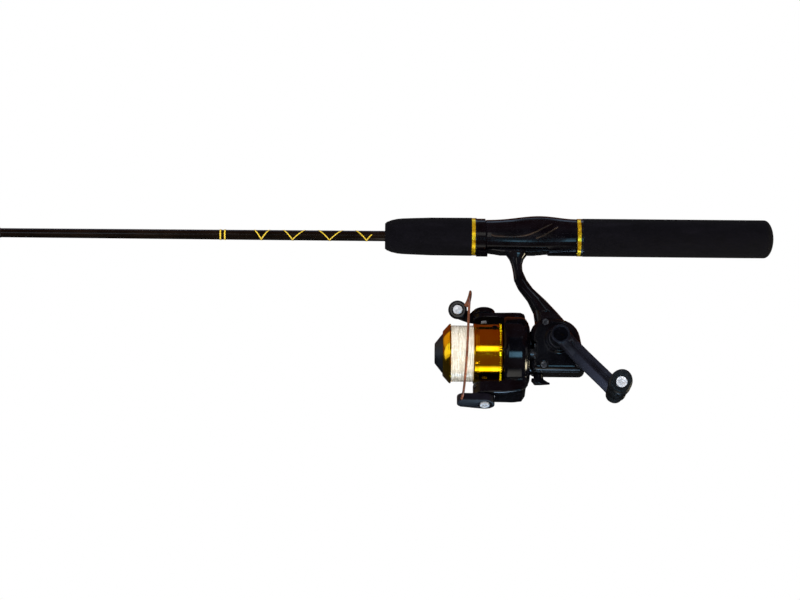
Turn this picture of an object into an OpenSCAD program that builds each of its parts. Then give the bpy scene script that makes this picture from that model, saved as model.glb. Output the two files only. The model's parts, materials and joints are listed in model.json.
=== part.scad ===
// Ice fishing rod with a small spinning reel, in millimetres.
// X runs along the rod, with the tip at -X. Z is up and the reel hangs below. The crank is on the -Y side.
// The origin is on the rod's axis at the middle of the rear grip.

/* [Rod] */
// Overall length of the rod, from butt to tip
rod_len = 711; // [640:1:790]
// Diameter of the blank where it enters the foregrip
blank_d = 6.6; // [6.2:0.1:7]
// Diameter of the blank at the last guide before the stripper guide
blank_mid_d = 5.8; // [5.2:0.1:6]
// Diameter of the blank inside the tip guide
blank_tip_d = 2.4; // [2:0.1:3]
// Distance from the tip to the stripper guide
stripper_x = 200.5; // [190:0.5:215]
// Distance from the tip to the middle guide
middle_guide_x = 120.5; // [105:0.5:135]
// Distance from the tip to the upper guide
upper_guide_x = 55.5; // [46:0.5:66]
// Inside radius of the stripper guide's ring
stripper_ring_r = 4.2; // [3.8:0.1:5]
// Width of the trim wraps just ahead of the zigzag
trim_wrap_w = 0.9; // [0.6:0.1:1.5]
// Length of the zigzag wrap on the blank
zigzag_len = 78; // [60:1:90]

/* [Handle] */
// Length of the rear grip
rear_grip_len = 120; // [100:1:150]
// Diameter of the grips
grip_d = 24; // [23:0.5:26]
// Length of the rear grip's domed end
butt_dome_len = 6; // [4:0.5:9]
// Width of the rear trim ring
rear_ring_w = 3.8; // [2:0.2:5]
// Length of the reel seat between the trim rings
seat_len = 63.2; // [62:0.5:72]
// Width of the front trim ring
front_ring_w = 3; // [2:0.2:4]
// Length of the foregrip
foregrip_len = 54.5; // [50:0.5:70]
// Diameter of the foregrip's nose
nose_d = 16.8; // [15:0.2:18]
// Height of the seat's palm swell above the rod's axis
swell_h = 13; // [12.2:0.1:14]
// Depth of the flat that the reel foot sits on, below the rod's axis
foot_flat_z = 8.7; // [8.4:0.1:9]
// Travel of the sliding hood
hood_travel = 4; // [3:0.5:4]

/* [Reel body] */
// Depth of the spool's axis below the rod's axis
spool_drop = 75.5; // [74:0.5:80]
// Height of the crank's axis above the spool's axis
crank_offset = 7; // [6.9:0.05:7.1]
// Length of the reel foot
foot_len = 50; // [48:0.5:52]
// Width of the gear case
case_w = 24; // [24:0.5:27]
// Wall of the gear case
case_wall = 1.8; // [1.6:0.1:2]
// Radius of the main shaft
shaft_r = 1.5; // [1.3:0.05:1.6]
// Radial clearance of turning fits
running_gap = 0.05; // [0.02:0.01:0.09]

/* [Gears] */
// Teeth of the face gear
face_teeth = 30; // [30:1:30]
// Teeth of the pinion
pinion_teeth = 7; // [7:1:7]
// Pitch radius of the face gear
face_r = 9.7; // [9.6:0.05:9.8]
// Module of the stroke gears
stroke_module = 0.6; // [0.6:0.1:0.6]
// Teeth of the stroke pinion on the crank's gear
stroke_pinion_teeth = 12; // [12:1:12]
// Teeth of the stroke gear
stroke_teeth = 24; // [24:1:24]
// Radius of the stroke gear's crank pin
stroke_r = 5; // [4.5:0.1:5]

/* [Spool] */
// Radius of the spool's skirt
skirt_r = 19; // [18.6:0.1:19.4]
// Length of the skirt
skirt_len = 18.2; // [17:0.2:19]
// Width of the line on the spool
line_w = 13.9; // [13:0.1:15]
// Radius of the wound line
line_r = 17.75; // [16:0.05:17.9]
// Diameter of the wound line as modelled
strand_d = 0.54; // [0.5:0.02:0.6]
// Turns in the outer layer
strand_turns = 12; // [8:1:12]
// Radius of the drag knob
drag_knob_r = 12.5; // [11:0.5:13]
// Height of the drag knob
drag_knob_h = 6.9; // [6:0.1:7.4]

/* [Rotor and bail] */
// Turn of the rotor at rest about its axis, in degrees
rotor_turn = -16; // [-20:1:-10]
// Width of the rotor's arms
arm_w = 16; // [14:0.5:17]
// Outside radius of the rotor's cup
cup_r = 23.4; // [23:0.1:23.8]
// Radius of the bail wire
wire_r = 0.8; // [0.6:0.05:1]
// Farthest reach of the bail wire from the spool's axis
bail_reach = 38.8; // [38:0.1:40]
// Radius of the line roller's cap
roller_cap_r = 5.9; // [5.4:0.1:6.2]

/* [Crank] */
// Distance from the crank's axis to the knob's spindle
crank_len = 50.6; // [44:0.2:60]
// Direction of the crank at rest, in degrees below +X
crank_angle = 48; // [40:0.2:60]
// Width of the crank arm
crank_w = 10.7; // [9:0.1:12]
// Length of the knob's oval section
knob_long = 16; // [14:0.2:18]
// Width of the knob's oval section
knob_wide = 13.8; // [12.4:0.2:14]
// Height of the knob along its spindle
knob_h = 28; // [24:0.5:30]

/* [Hidden] */
$fn = 64;

// Stations along the rod
grip_end = rear_grip_len / 2;
grip_front = -rear_grip_len / 2;
seat_rear = grip_front - rear_ring_w;
seat_front = seat_rear - seat_len;
fore_rear = seat_front - front_ring_w;
fore_front = fore_rear - foregrip_len;
tip_x = grip_end - rod_len;
grip_r = grip_d / 2;
ring_r = grip_r - 0.15;
barrel_r = 7.5;
barrel_front = fore_front + 8;
nut_r = 9.2;
hood_len = 5.6;
seat_start = seat_front + hood_len + 0.1;
fixed_hood_x = seat_rear - 18.5;
guide_x = [tip_x + stripper_x, tip_x + middle_guide_x, tip_x + upper_guide_x];
ring_inner = [stripper_ring_r, stripper_ring_r - 1.2, stripper_ring_r - 1.9];
ring_wall = 1.1;
ring_drop = [11.5, 9, 7.4];
frame_wire_r = 0.75;
wrap_t = 0.35;
tip_ring_r = 2.1;
tip_tube_len = 11;

// Stations along the reel, whose rest place hangs under the seat
foot_x = -123;
spool_z = -spool_drop;
crank_z = spool_z + crank_offset;
crank_x = -76;
nose_front = -98.3;
nose_r = 13;
case_front = -94.3;
case_y = case_w / 2;
cover_y = -case_y + 5;
cover_gap = 0.05;
bearing_r = 7.5;
bearing_front = nose_front + 0.3;
bearing_w = 3.6;
journal_r = 3.25;
hub_seat_r = 3.2;
pinion_front = -110.5;
nut_front = -110;
hub_front = -106;
hub_back = -98.9;
cup_back = -94;
cup_front = -110.2;
drum_front = -119;
drum_r = 16.2;
arm_front = -129.3;
pivot_x = -122;
arm_in = 22.4;
arm_top = 26;
arm_low = 30.5;
bail_gap = 0.3;
lever_t = 3.6;
holder_t = 5.2;
skirt_front = -128.9;
skirt_back = skirt_front + skirt_len;
lip_back = skirt_front - line_w;
lip_front = lip_back - 5.1;
knob_back = lip_front + 1.9;
knob_front = knob_back - drag_knob_h;
spool_bore = 3.3;
arbor_r = 9;
core_r = line_r - strand_d - 0.2;
roller_x = -138.5;
roller_tilt = 112;
roller_at = [-0.1, 30.75];
crank_hub_y = -24;
crank_tip_y = -32.6;
knob_y = crank_tip_y - 2.6;
crank_end = [crank_x + crank_len * cos(crank_angle), crank_z - crank_len * sin(crank_angle)];
axle_r = 4.5;
neck_r = 2.6;
gear_pitch = 360 / face_teeth;
helix = asin(crank_offset / face_r);
pinion_r = pinion_teeth / face_teeth * face_r / cos(helix);
stroke_centre_r = stroke_module * (stroke_pinion_teeth + stroke_teeth) / 2;
stroke_dx = 4;
stroke_x = crank_x + stroke_dx;
stroke_z = crank_z - sqrt(stroke_centre_r * stroke_centre_r - stroke_dx * stroke_dx);
stroke_rest = 66.4;
pin_x = stroke_x + stroke_r * cos(stroke_rest);
slider_y = -1.5;
stroke_axle_r = 1.5;
case_floor = -88.2;
stop_floor_gap = 0.3;
stop_x = -88.3;
ratchet_x = -90.9;
ratchet_w = 1.3;
face_in = face_r - 1.3;
face_out = face_r + 1.3;
tooth_up = 0.4;
tooth_down = 0.55;

// Radius of the blank at any place along it
function blank_r(x) = lookup(x, [
    [tip_x, blank_tip_d / 2], [guide_x[0] + 26, blank_mid_d / 2],
    [fore_front, blank_d / 2], [grip_end, blank_d / 2 + 0.3]
]);

// A solid of revolution about X from points that hold a place along X and a radius
module lathe(points) {
    rotate([0, 90, 0]) rotate_extrude() polygon([for (p = points) [p[1], p[0]]]);
}

module tube(x0, x1, outer, inner = 0) {
    lathe([[x0, inner], [x1, inner], [x1, outer], [x0, outer]]);
}

// A round bar along Y
module bar_y(x, z, y0, y1, r) {
    translate([x, y1, z]) rotate([90, 0, 0]) cylinder(h = y1 - y0, r = r);
}

// A skin through rings that each hold the same number of points
function middle(ring) = [for (p = ring) 1] * ring / len(ring);
function ring_turn(ring) = let (c = middle(ring), n = len(ring))
    [for (p = ring) 1] * [for (j = [0:n - 1]) cross(ring[j] - c, ring[(j + 1) % n] - c)];
module loft(rings) {
    n = len(rings[0]);
    last = len(rings) - 1;
    // rings that turn right-handed about the way they run are taken from the far end
    forward = ring_turn(rings[0]) * (middle(rings[1]) - middle(rings[0])) < 0;
    ordered = forward ? rings : [for (i = [last:-1:0]) rings[i]];
    sides = [for (i = [0:last - 1]) for (j = [0:n - 1]) let (k = (j + 1) % n)
        each [[i * n + j, i * n + k, (i + 1) * n + j], [i * n + k, (i + 1) * n + k, (i + 1) * n + j]]];
    caps = [[for (j = [n - 1:-1:0]) j], [for (j = [0:n - 1]) last * n + j]];
    polyhedron(points = [for (r = ordered) each r], faces = concat(sides, caps));
}

// The band stretched round circles, listed clockwise or not as [x, y, radius], and drawn in by an inset
function touch_angle(p, q) = let (d = [q[0] - p[0], q[1] - p[1]])
    atan2(d[1], d[0]) - acos((p[2] - q[2]) / norm(d));
function band(rounds, inset, steps) = let (n = len(rounds)) [for (i = [0:n - 1]) let (
        p = rounds[i], a0 = touch_angle(rounds[(i + n - 1) % n], p),
        turn = (touch_angle(p, rounds[(i + 1) % n]) - a0 + 720) % 360)
    for (k = [0:steps]) let (a = a0 + turn * k / steps)
        [p[0] + (p[2] - inset) * cos(a), p[1] + (p[2] - inset) * sin(a)]];

function unit(v) = v / norm(v);
function lerp(a, b, t) = a + (b - a) * t;
// A point on a smooth curve through p1 and p2
function blend_point(p0, p1, p2, p3, t) = 0.5 * (2 * p1 + (p2 - p0) * t
    + (2 * p0 - 5 * p1 + 4 * p2 - p3) * t * t + (3 * p1 - p0 - 3 * p2 + p3) * t * t * t);
function smooth(p, steps) = let (n = len(p)) concat(
    [for (i = [0:n - 2]) for (s = [0:steps - 1])
        blend_point(p[max(i - 1, 0)], p[i], p[i + 1], p[min(i + 2, n - 1)], s / steps)],
    [p[n - 1]]);

// A round tube along a path, whose rings stay square to it. The radius may change along the path.
function tangent(path, i) = unit(path[min(i + 1, len(path) - 1)] - path[max(i - 1, 0)]);
function tube_ring(p, along, up, r, sides) = let (u = unit(cross(along, up)), v = cross(u, along))
    [for (k = [0:sides - 1]) p + r * (cos(360 * k / sides) * u + sin(360 * k / sides) * v)];
module wire(path, radii, sides, up) {
    loft([for (i = [0:len(path) - 1])
        tube_ring(path[i], tangent(path, i), is_undef(up) ? unit([0.01, 0.02, 1]) : up[i],
            is_list(radii) ? radii[i] : radii, sides)]);
}

module spool_axis() translate([0, 0, spool_z]) children();
module rotor_frame() spool_axis() rotate([rotor_turn, 0, 0]) children();
module roller_frame() rotor_frame() translate([roller_x, roller_at[0], roller_at[1]])
    rotate([roller_tilt, 0, 0]) children();
module crank_axis() translate([crank_x, 0, crank_z]) rotate([90, 0, 0]) children();

// ---- Rod and handle

module blank() {
    color("#121214") lathe([
        [tip_x, 0], [tip_x, blank_r(tip_x)], [guide_x[0] + 26, blank_r(guide_x[0] + 26)],
        [fore_front, blank_r(fore_front)], [grip_end - 20, blank_r(grip_end - 20)], [grip_end - 20, 0]
    ]);
}

module rear_grip() {
    dome = [for (a = [90:-10:0]) [grip_end - butt_dome_len + butt_dome_len * cos(a), grip_r * sin(a)]];
    color("#17171a") difference() {
        lathe(concat([[grip_front, 0], [grip_front, grip_r]], dome));
        translate([grip_front - 1, 0, 0]) rotate([0, 90, 0])
            cylinder(h = rear_grip_len - 19, r = blank_r(grip_front) + 0.2);
    }
}

module trim_ring(x0, w, inner) {
    color("#e8b820") tube(x0, x0 + w, ring_r, inner);
}

module rear_trim_ring() trim_ring(seat_rear, rear_ring_w, blank_r(seat_rear) + 0.2);
module front_trim_ring() trim_ring(fore_rear, front_ring_w, nut_r);

// Height of the seat's back along the seat: low at the hood, swelling under the palm
function seat_top(t) = 10.6 + (swell_h - 10.6) * pow(sin(180 * pow(t, 1.25)), 2) + 0.9 * t;
function seat_side(t) = 11.2 - 0.9 * pow(sin(180 * t), 2) + 0.5 * t;
function seat_ring(t, low) = let (
        x = lerp(seat_start, seat_rear, t), top = seat_top(t), side = seat_side(t))
    [for (k = [0:27]) let (a = 360 * k / 28, s = sin(a), h = s > 0 ? top : low)
        [x, side * sign(cos(a)) * pow(abs(cos(a)), 0.9), h * sign(s) * pow(abs(s), 0.92)]];

module seat_body() {
    hood_t = (fixed_hood_x - seat_start) / (seat_rear - seat_start);
    color("#0c0c0e") difference() {
        union() {
            loft([for (i = [0:16]) seat_ring(i / 16, 11.6)]);
        }
        // the flat under the foot, open to the front and closed by the fixed hood behind
        translate([seat_start - 1, -20, -30]) cube([fixed_hood_x - seat_start + 1, 40, 30 - foot_flat_z]);
        // the fixed hood's pocket for the foot's rear tongue
        translate([fixed_hood_x - 1, -5.6, -foot_flat_z - 1.6]) cube([10.5, 11.2, 1.6]);
        tube(seat_start - 1, seat_rear - 4, barrel_r, 0);
        tube(seat_rear - 5, seat_rear + 1, blank_r(seat_rear) + 0.1, 0);
    }
}

module thread_barrel() {
    pitch = 2;
    turns = floor((seat_front - 8 - barrel_front) / pitch);
    color("#18181a") difference() {
        tube(barrel_front, seat_rear - 4.1, barrel_r, blank_r(seat_rear) + 0.02);
        for (i = [1:turns]) tube(barrel_front + i * pitch, barrel_front + i * pitch + 0.9, 9, barrel_r - 0.5);
    }
}

module seat_hood() {
    wall = 1.5;
    reach = hood_len + 1.4;
    color("#101012") difference() {
        union() {
            tube(seat_front, seat_front + hood_len, 11.5, barrel_r + 0.12);
            // the lip that grips the foot's front tongue
            intersection() {
                tube(seat_front, seat_front + reach, 12.4, barrel_r + 0.12);
                translate([seat_front, -7.5, -20]) cube([reach, 15, 20 - foot_flat_z - 1.7]);
            }
        }
        translate([seat_front + 2, -5.8, -foot_flat_z - 1.6]) cube([reach, 11.6, 1.7]);
        translate([seat_front + hood_len - 0.01, -20, -foot_flat_z]) cube([5, 40, 40]);
    }
}

module lock_nut() {
    color("#8c8f94") tube(barrel_front + 1, seat_front, nut_r, barrel_r + 0.05);
}

module foregrip() {
    n = nose_d / 2;
    color("#17171a") lathe([
        [fore_front, blank_d / 2 + 0.4], [fore_front, n - 0.5], [fore_front + 1, n + 0.5],
        [fore_front + 4, n + 1.7], [fore_front + 7.5, n + 2.5], [fore_front + 11, n + 2.85],
        [fore_front + 17, n + 3.1], [fore_front + 29, grip_r - 0.1], [fore_rear, grip_r],
        [fore_rear, nut_r], [barrel_front + 0.9, nut_r], [barrel_front + 0.9, barrel_r + 0.4],
        [barrel_front - 0.4, barrel_r + 0.4], [barrel_front - 0.4, blank_d / 2 + 0.4]
    ]);
}

// A guide's foot, which the thread binds to the underside of the blank, and the legs that rise from it
function foot_drop(i) = blank_r(guide_x[i] + 21) + 0.8;
module guide_foot(i, gap = 0) {
    x = guide_x[i];
    drop = foot_drop(i);
    hoop = ring_inner[i] + ring_wall;
    translate([x + 10 - gap, -1.1 - gap, -drop - 0.35 - gap]) cube([11 + 2 * gap, 2.2 + 2 * gap, 1.05 + gap]);
    for (s = [-1, 1]) wire(smooth([
            [x + 17, s * 0.35, -drop], [x + 11, s * 0.5, -drop - 0.1],
            [x + 5, s * (hoop * 0.75 + 0.4), -ring_drop[i] * 0.62], [x + 0.2, s * (hoop + 0.5), -ring_drop[i] + 0.3]
        ], 3), frame_wire_r + gap, 8);
}

module guide_frame(i) {
    hoop = ring_inner[i] + ring_wall;
    color("#1a1a1c") difference() {
        union() {
            guide_foot(i);
            translate([guide_x[i], 0, -ring_drop[i]]) rotate([0, 90, 0])
                cylinder(h = 1.3, r = hoop + 1.1, center = true);
        }
        translate([guide_x[i], 0, -ring_drop[i]]) rotate([0, 90, 0]) cylinder(h = 4, r = hoop, center = true);
        tube(guide_x[i] - 2, guide_x[i] + 30, blank_r(guide_x[i] + 21));
    }
}

// A hard ring's section: rounded inside so that the line runs over it smoothly
module hard_ring(inner, outer, half) {
    rotate_extrude() polygon([
        [inner + 0.25, -half], [outer, -half], [outer, half],
        [inner + 0.25, half], [inner, half / 2], [inner, -half / 2]
    ]);
}

module guide_ring(i) {
    color("#2b2b30") translate([guide_x[i], 0, -ring_drop[i]]) rotate([0, 90, 0])
        hard_ring(ring_inner[i], ring_inner[i] + ring_wall, 1);
}

tip_drop = tip_ring_r + 2.6;
tip_ring_wall = 0.9;
module tip_top_frame() {
    r = blank_r(tip_x);
    x = tip_x - 2.2;
    color("#1a1a1c") difference() {
        union() {
            tube(tip_x - 1.2, tip_x + tip_tube_len, r + 0.75);
            translate([x, 0, -tip_drop]) rotate([0, 90, 0])
                cylinder(h = 1.3, r = tip_ring_r + 1.8, center = true);
            for (s = [-1, 1]) wire(smooth([
                    [tip_x + 9, s * 1.1, -r - 0.4], [tip_x + 4, s * 1.9, -tip_drop * 0.7],
                    [x, s * (tip_ring_r + 1.3), -tip_drop]
                ], 3), 0.55, 8);
            translate([x - 0.65, -1.2, -r - 0.7]) cube([2.4, 2.4, 1.6]);
        }
        tube(tip_x, tip_x + tip_tube_len + 1, r + 0.13);
        translate([x, 0, -tip_drop]) rotate([0, 90, 0])
            cylinder(h = 4, r = tip_ring_r + tip_ring_wall, center = true);
    }
}

module tip_top_ring() {
    color("#2b2b30") translate([tip_x - 2.2, 0, -tip_drop]) rotate([0, 90, 0])
        hard_ring(tip_ring_r, tip_ring_r + tip_ring_wall, 0.9);
}

// Thread over each guide's foot, domed by its varnish
module guide_wraps() {
    color("#0d0d10") for (i = [0:2]) {
        x = guide_x[i];
        r = blank_r(x);
        difference() {
            lathe([
                [x + 11, 0], [x + 11, r + 0.7], [x + 12, r + 1.75], [x + 20, r + 1.75],
                [x + 23, r + 0.6], [x + 24.5, r + 0.15], [x + 24.5, 0]
            ]);
            tube(x + 5, x + 30, blank_r(x + 25) + 0.02);
            guide_foot(i, 0.03);
        }
    }
}

// The two bands ahead of the zigzag and the zigzag's binding at the foregrip
module trim_wraps() {
    band_gap = 1.9;
    x = fore_front - zigzag_len;
    color("#caa030") union() {
        for (s = [0, 1]) difference() {
            tube(x - 26 + s * (trim_wrap_w + band_gap), x - 26 + s * (trim_wrap_w + band_gap) + trim_wrap_w,
                blank_r(x) + 0.22, 0);
            tube(x - 40, x, blank_r(x - 26) + 0.01);
        }
    }
}

// ---- Reel body

// Sections of the stem, from the foot down into the gear case: height, front edge, rear edge, half width
function stem_sections() = [
    [-foot_flat_z - 1.2, -113, -91.5, 6.2], [-foot_flat_z - 2.6, -108.6, -94.8, 5.2],
    [-14.5, -106.3, -97.2, 4.3], [-18, -105, -98.2, 4], [-22.2, -104.1, -97.9, 4],
    [-28, -103.4, -95.4, 4.3], [-33.7, -100.8, -91.4, 4.9], [-41.4, -95, -83.4, 5.9],
    [-49.1, -91.4, -76.4, 7.4], [-55, -90.6, -71.4, 9], [-61, -90.3, -68, 10], [-66, -90, -67, 10.2]
];

module stem() {
    loft([for (s = stem_sections()) let (c = (s[1] + s[2]) / 2, h = (s[2] - s[1]) / 2)
        [for (k = [0:19]) let (a = -360 * k / 20)
            [c + h * sign(cos(a)) * pow(abs(cos(a)), 0.75), s[3] * sign(sin(a)) * pow(abs(sin(a)), 0.75), s[0]]]]);
}

module foot() {
    half = 5.2;
    rear = foot_x + foot_len;
    intersection() {
        rotate([90, 0, 0]) linear_extrude(height = 2 * half, center = true) polygon([
            [foot_x, -foot_flat_z - 0.03], [foot_x, -foot_flat_z - 0.9], [foot_x + 6, -foot_flat_z - 1.4],
            [-112, -foot_flat_z - 2.2], [-91, -foot_flat_z - 2.2], [rear - 10, -foot_flat_z - 1.4],
            [rear, -foot_flat_z - 0.9], [rear, -foot_flat_z - 0.03]
        ]);
        translate([0, 0, -20]) linear_extrude(height = 20) union() {
            translate([foot_x + half, 0]) circle(r = half);
            translate([rear - half, 0]) circle(r = half);
            translate([foot_x + half, -half]) square([foot_len - 2 * half, 2 * half]);
        }
    }
}

// The case seen from the crank's side is the band round four circles: centre and radius
case_rounds = [[-82.2, -66.4, 12], [-89.6, case_floor + 4.7, 4.7], [-62.9, case_floor + 3.6, 3.6],
    [crank_x, crank_z, face_out + 0.3 + case_wall + 0.2]];
function case_outline(inset) = band(case_rounds, inset, 6);

module case_slab(y0, y1, inset) translate([0, y1, 0]) rotate([90, 0, 0])
    linear_extrude(height = y1 - y0) polygon(case_outline(inset));

// Half widths of the case and how far its outline is drawn in there, which rounds its edges
case_edge = [[0, 2.8], [0.5, 1.5], [1.5, 0.6], [3.2, 0]];

module case_form() {
    rings = concat([for (e = case_edge) [-case_y + e[0], e[1]]],
        [for (i = [3:-1:0]) [case_y - case_edge[i][0], case_edge[i][1]]]);
    loft([for (r = rings) [for (p = case_outline(r[1])) [p[0], r[0], p[1]]]]);
}

// The side cover takes the case's crank side, below the step in the stem
cover_top = -49.6;
module cover_space(gap) translate([-120, -40, -120])
    cube([80, 40 + cover_y - gap, 120 + cover_top - gap]);

screw_spots = [[-84.4, -57.4], [-85.4, case_floor + 3.6], [-63.8, case_floor + 3.9]];
post_r = 2.4;
post_end = -3.2;

module case_cavity() difference() {
    case_slab(cover_y - 1, case_y - case_wall, case_wall + 0.2);
    for (p = screw_spots) bar_y(p[0], p[1], cover_y - 2, post_end, post_r);
    bar_y(crank_x, crank_z, 8.2, case_y, 7.6);
}

module reel_body() {
    color("#0d0d10") difference() {
        union() {
            case_form();
            stem();
            foot();
            spool_axis() tube(nose_front, case_front + 4, nose_r);
            bar_y(crank_x, crank_z, case_y - 3, case_y + 2.6, 7.6);
        }
        case_cavity();
        cover_space(0);
        // the nose's bearing seat and the way through for the pinion
        spool_axis() {
            tube(nose_front - 1, bearing_front + bearing_w, bearing_r);
            tube(nose_front, case_front + 5, 5.2);
            tube(case_front - 0.2, case_front + 9, 8.2);
        }
        bar_y(crank_x, crank_z, 7, case_y + 1.2, 6.5);
        for (p = screw_spots) bar_y(p[0], p[1], cover_y - 1, post_end - 1, 0.9);
        // room for the stroke gear's teeth in the walls
        bar_y(stroke_x, stroke_z, -5.4, -1.8, stroke_module * (stroke_teeth / 2 + 1) + 0.45);
        // the stop lever's shaft hole through the floor
        translate([stop_x, 0, case_floor - 2]) cylinder(h = 8, r = 1.55);
    }
}

module side_cover() {
    color("#0e0e11") difference() {
        union() {
            difference() {
                intersection() {
                    union() {
                        case_form();
                        stem();
                    }
                    cover_space(cover_gap);
                }
                case_slab(-case_y + case_wall, 0, case_wall + 0.2);
            }
            bar_y(crank_x, crank_z, -case_y - 3.2, -case_y + 3, 8.4);
            // the axle that the stroke gear turns on
            bar_y(stroke_x, stroke_z, -case_y + 1, -3.1, stroke_axle_r);
        }
        spool_axis() tube(nose_front - 1, case_front + 4.1, nose_r + 0.05);
        bar_y(crank_x, crank_z, -case_y - 4, 0, 6.5);
        for (p = screw_spots) {
            bar_y(p[0], p[1], -case_y - 1, cover_y + 1, 1.15);
            bar_y(p[0], p[1], -case_y - 1, -case_y + 1.5, 2.1);
        }
    }
}

module screw(x, z, head_y, length, head_r, shank_r) {
    difference() {
        union() {
            bar_y(x, z, head_y, head_y + 1.2, head_r);
            bar_y(x, z, head_y + 1.1, head_y + length, shank_r);
        }
        for (turn = [0, 90]) translate([x, head_y, z]) rotate([0, turn, 0])
            cube([head_r * 1.3, 1.1, 0.5], center = true);
    }
}

module cover_screws() {
    color("#b9bcc2") for (p = screw_spots) screw(p[0], p[1], -case_y + 0.3, 7.2, 2, 0.85);
}

module axle_bushes() {
    color("#b58a3c") {
        crank_axis() {
            translate([0, 0, -case_y - 1.2]) difference() {
                cylinder(h = 4, r = 6.5);
                translate([0, 0, -1]) cylinder(h = 6, r = axle_r + running_gap);
            }
            translate([0, 0, case_y - 2.6]) difference() {
                cylinder(h = 5, r = 6.5);
                translate([0, 0, -1]) cylinder(h = 7, r = axle_r + running_gap);
            }
        }
    }
}

module bearing_outer() {
    color("#c9ccd1") spool_axis() lathe([
        [bearing_front, 6.5], [bearing_front, bearing_r], [bearing_front + bearing_w, bearing_r],
        [bearing_front + bearing_w, 6.5], [bearing_front + bearing_w * 0.75, 6.5],
        [bearing_front + bearing_w / 2, 6.85], [bearing_front + bearing_w / 4, 6.5]
    ]);
}

module bearing_inner() {
    color("#c9ccd1") spool_axis() tube(bearing_front, bearing_front + bearing_w, 4.7, journal_r);
}

module bearing_balls() {
    ball_r = 1;
    color("#e2e4e8") spool_axis() for (i = [0:7]) rotate([i * 45, 0, 0])
        translate([bearing_front + bearing_w / 2, 0, 4.7 + ball_r - 0.03]) sphere(r = ball_r);
}

// ---- Gears

// The face gear's teeth lie along its radii, and each is wide enough to touch the pinion across the gap
module main_gear() {
    tooth_top = -pinion_r + tooth_up;
    tooth_root = -pinion_r - tooth_down;
    color("#c7a24a") crank_axis() difference() {
        union() {
            translate([0, 0, -6.6]) cylinder(h = 6.6 + tooth_root, r = face_out + 0.05);
            translate([0, 0, -case_y - 1]) cylinder(h = case_y + 1 + neck_front(), r = axle_r);
            translate([0, 0, neck_front() - 0.1]) cylinder(h = -neck_front() + 2.3, r = neck_r);
            translate([0, 0, 2.2]) linear_extrude(height = 2.9) spur(stroke_pinion_teeth, stroke_module, 0);
            translate([0, 0, 5.1]) cylinder(h = case_y - 5.1 + 1, r = axle_r);
            for (i = [0:face_teeth - 1]) rotate([0, 0, (i + 0.5) * gear_pitch])
                translate([face_in, 0, 0]) rotate([90, 0, 90]) linear_extrude(height = face_out - face_in) polygon([
                    [-0.5, tooth_root - 0.1], [0.5, tooth_root - 0.1], [0.5, tooth_root],
                    [0.16, tooth_top], [-0.16, tooth_top], [-0.5, tooth_root]
                ]);
        }
        translate([-2.5, -2.5, 5.2]) cube([5, 5, case_y]);
    }
}

// Where the hub narrows to let the slider pass, seen from the crank's side
function neck_front() = -3.4;

// An involute-like spur gear outline with its teeth turned by a share of the pitch
module spur(teeth, m, turn) {
    r = teeth * m / 2;
    gap = 0.06;
    polygon([for (i = [0:teeth - 1]) let (a = 360 * (i + turn) / teeth, w = 90 / teeth)
        each [
            for (q = [[-1.45, -1.2], [-1 + gap, 0], [-0.45, 0.92], [0.45, 0.92], [1 - gap, 0], [1.45, -1.2]])
                (r + q[1] * m) * [cos(a + q[0] * w), sin(a + q[0] * w)]
        ]]);
}

module pinion_section(teeth, r) {
    polygon([for (i = [0:teeth - 1]) let (a = 360 * i / teeth, w = 90 / teeth)
        each [for (q = [[-1.4, -tooth_down - 0.15], [-0.5, 0], [-0.13, tooth_up - 0.05], [0.13, tooth_up - 0.05], [0.5, 0], [1.4, -tooth_down - 0.15]])
            (r + q[1]) * [cos(a + q[0] * w), sin(a + q[0] * w)]]]);
}

// Turn that sets the pinion's teeth into the gaps of the main gear
pinion_phase = -1.46 / 12 * 360 / pinion_teeth;

module pinion_gear() {
    tooth_back = crank_x - sqrt(face_in * face_in - crank_offset * crank_offset) + 0.3;
    tooth_front = crank_x - sqrt(face_out * face_out - pow(crank_offset - pinion_r, 2)) - 0.3;
    tooth_len = tooth_back - tooth_front;
    twist_deg = tooth_len * tan(helix) / pinion_r * 57.29578;
    color("#b9bcc2") spool_axis() difference() {
        union() {
            tube(pinion_front, hub_back, hub_seat_r - 0.02);
            tube(hub_back - 0.01, bearing_front + bearing_w, journal_r - 0.01);
            tube(bearing_front + bearing_w, ratchet_x + ratchet_w, 3.5);
            tube(ratchet_x + ratchet_w, tooth_front + 0.15, pinion_r + tooth_up + 0.2);
            translate([tooth_back, 0, 0]) rotate([0, -90, 0]) rotate([0, 0, pinion_phase])
                linear_extrude(height = tooth_len, twist = -twist_deg, slices = 8)
                pinion_section(pinion_teeth, pinion_r);
        }
        tube(pinion_front - 1, tooth_back + 1, shaft_r + running_gap);
    }
}

module ratchet() {
    teeth = 10;
    color("#8c8f94") spool_axis() translate([ratchet_x, 0, 0]) rotate([0, 90, 0]) difference() {
        linear_extrude(height = ratchet_w) polygon([for (i = [0:teeth - 1]) let (a = 360 * i / teeth)
            each [7.2 * [cos(a), sin(a)], 5.6 * [cos(a + 6), sin(a + 6)], 6.1 * [cos(a + 18), sin(a + 18)]]]);
        translate([0, 0, -1]) cylinder(h = 4, r = 3.5);
    }
}

module stroke_gear() {
    color("#d8d4c8") difference() {
        union() {
            translate([stroke_x, -2.3, stroke_z]) rotate([90, 0, 0])
                linear_extrude(height = 2.6) spur(stroke_teeth, stroke_module, stroke_mesh);
            bar_y(stroke_x, stroke_z, -case_y + 3.4, -4.8, 3.2);
            bar_y(pin_x, stroke_z + stroke_r * sin(stroke_rest), -2.4, slider_y - 0.3, 1);
        }
        bar_y(stroke_x, stroke_z, -case_y, -3, stroke_axle_r + running_gap);
    }
}

// Share of a pitch that brings the stroke gear's gap over its pinion's tooth
stroke_way = atan2(stroke_z - crank_z, stroke_x - crank_x);
stroke_mesh = (stroke_way + 180) / 360 * stroke_teeth + stroke_way / 360 * stroke_pinion_teeth - 0.5;

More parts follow.
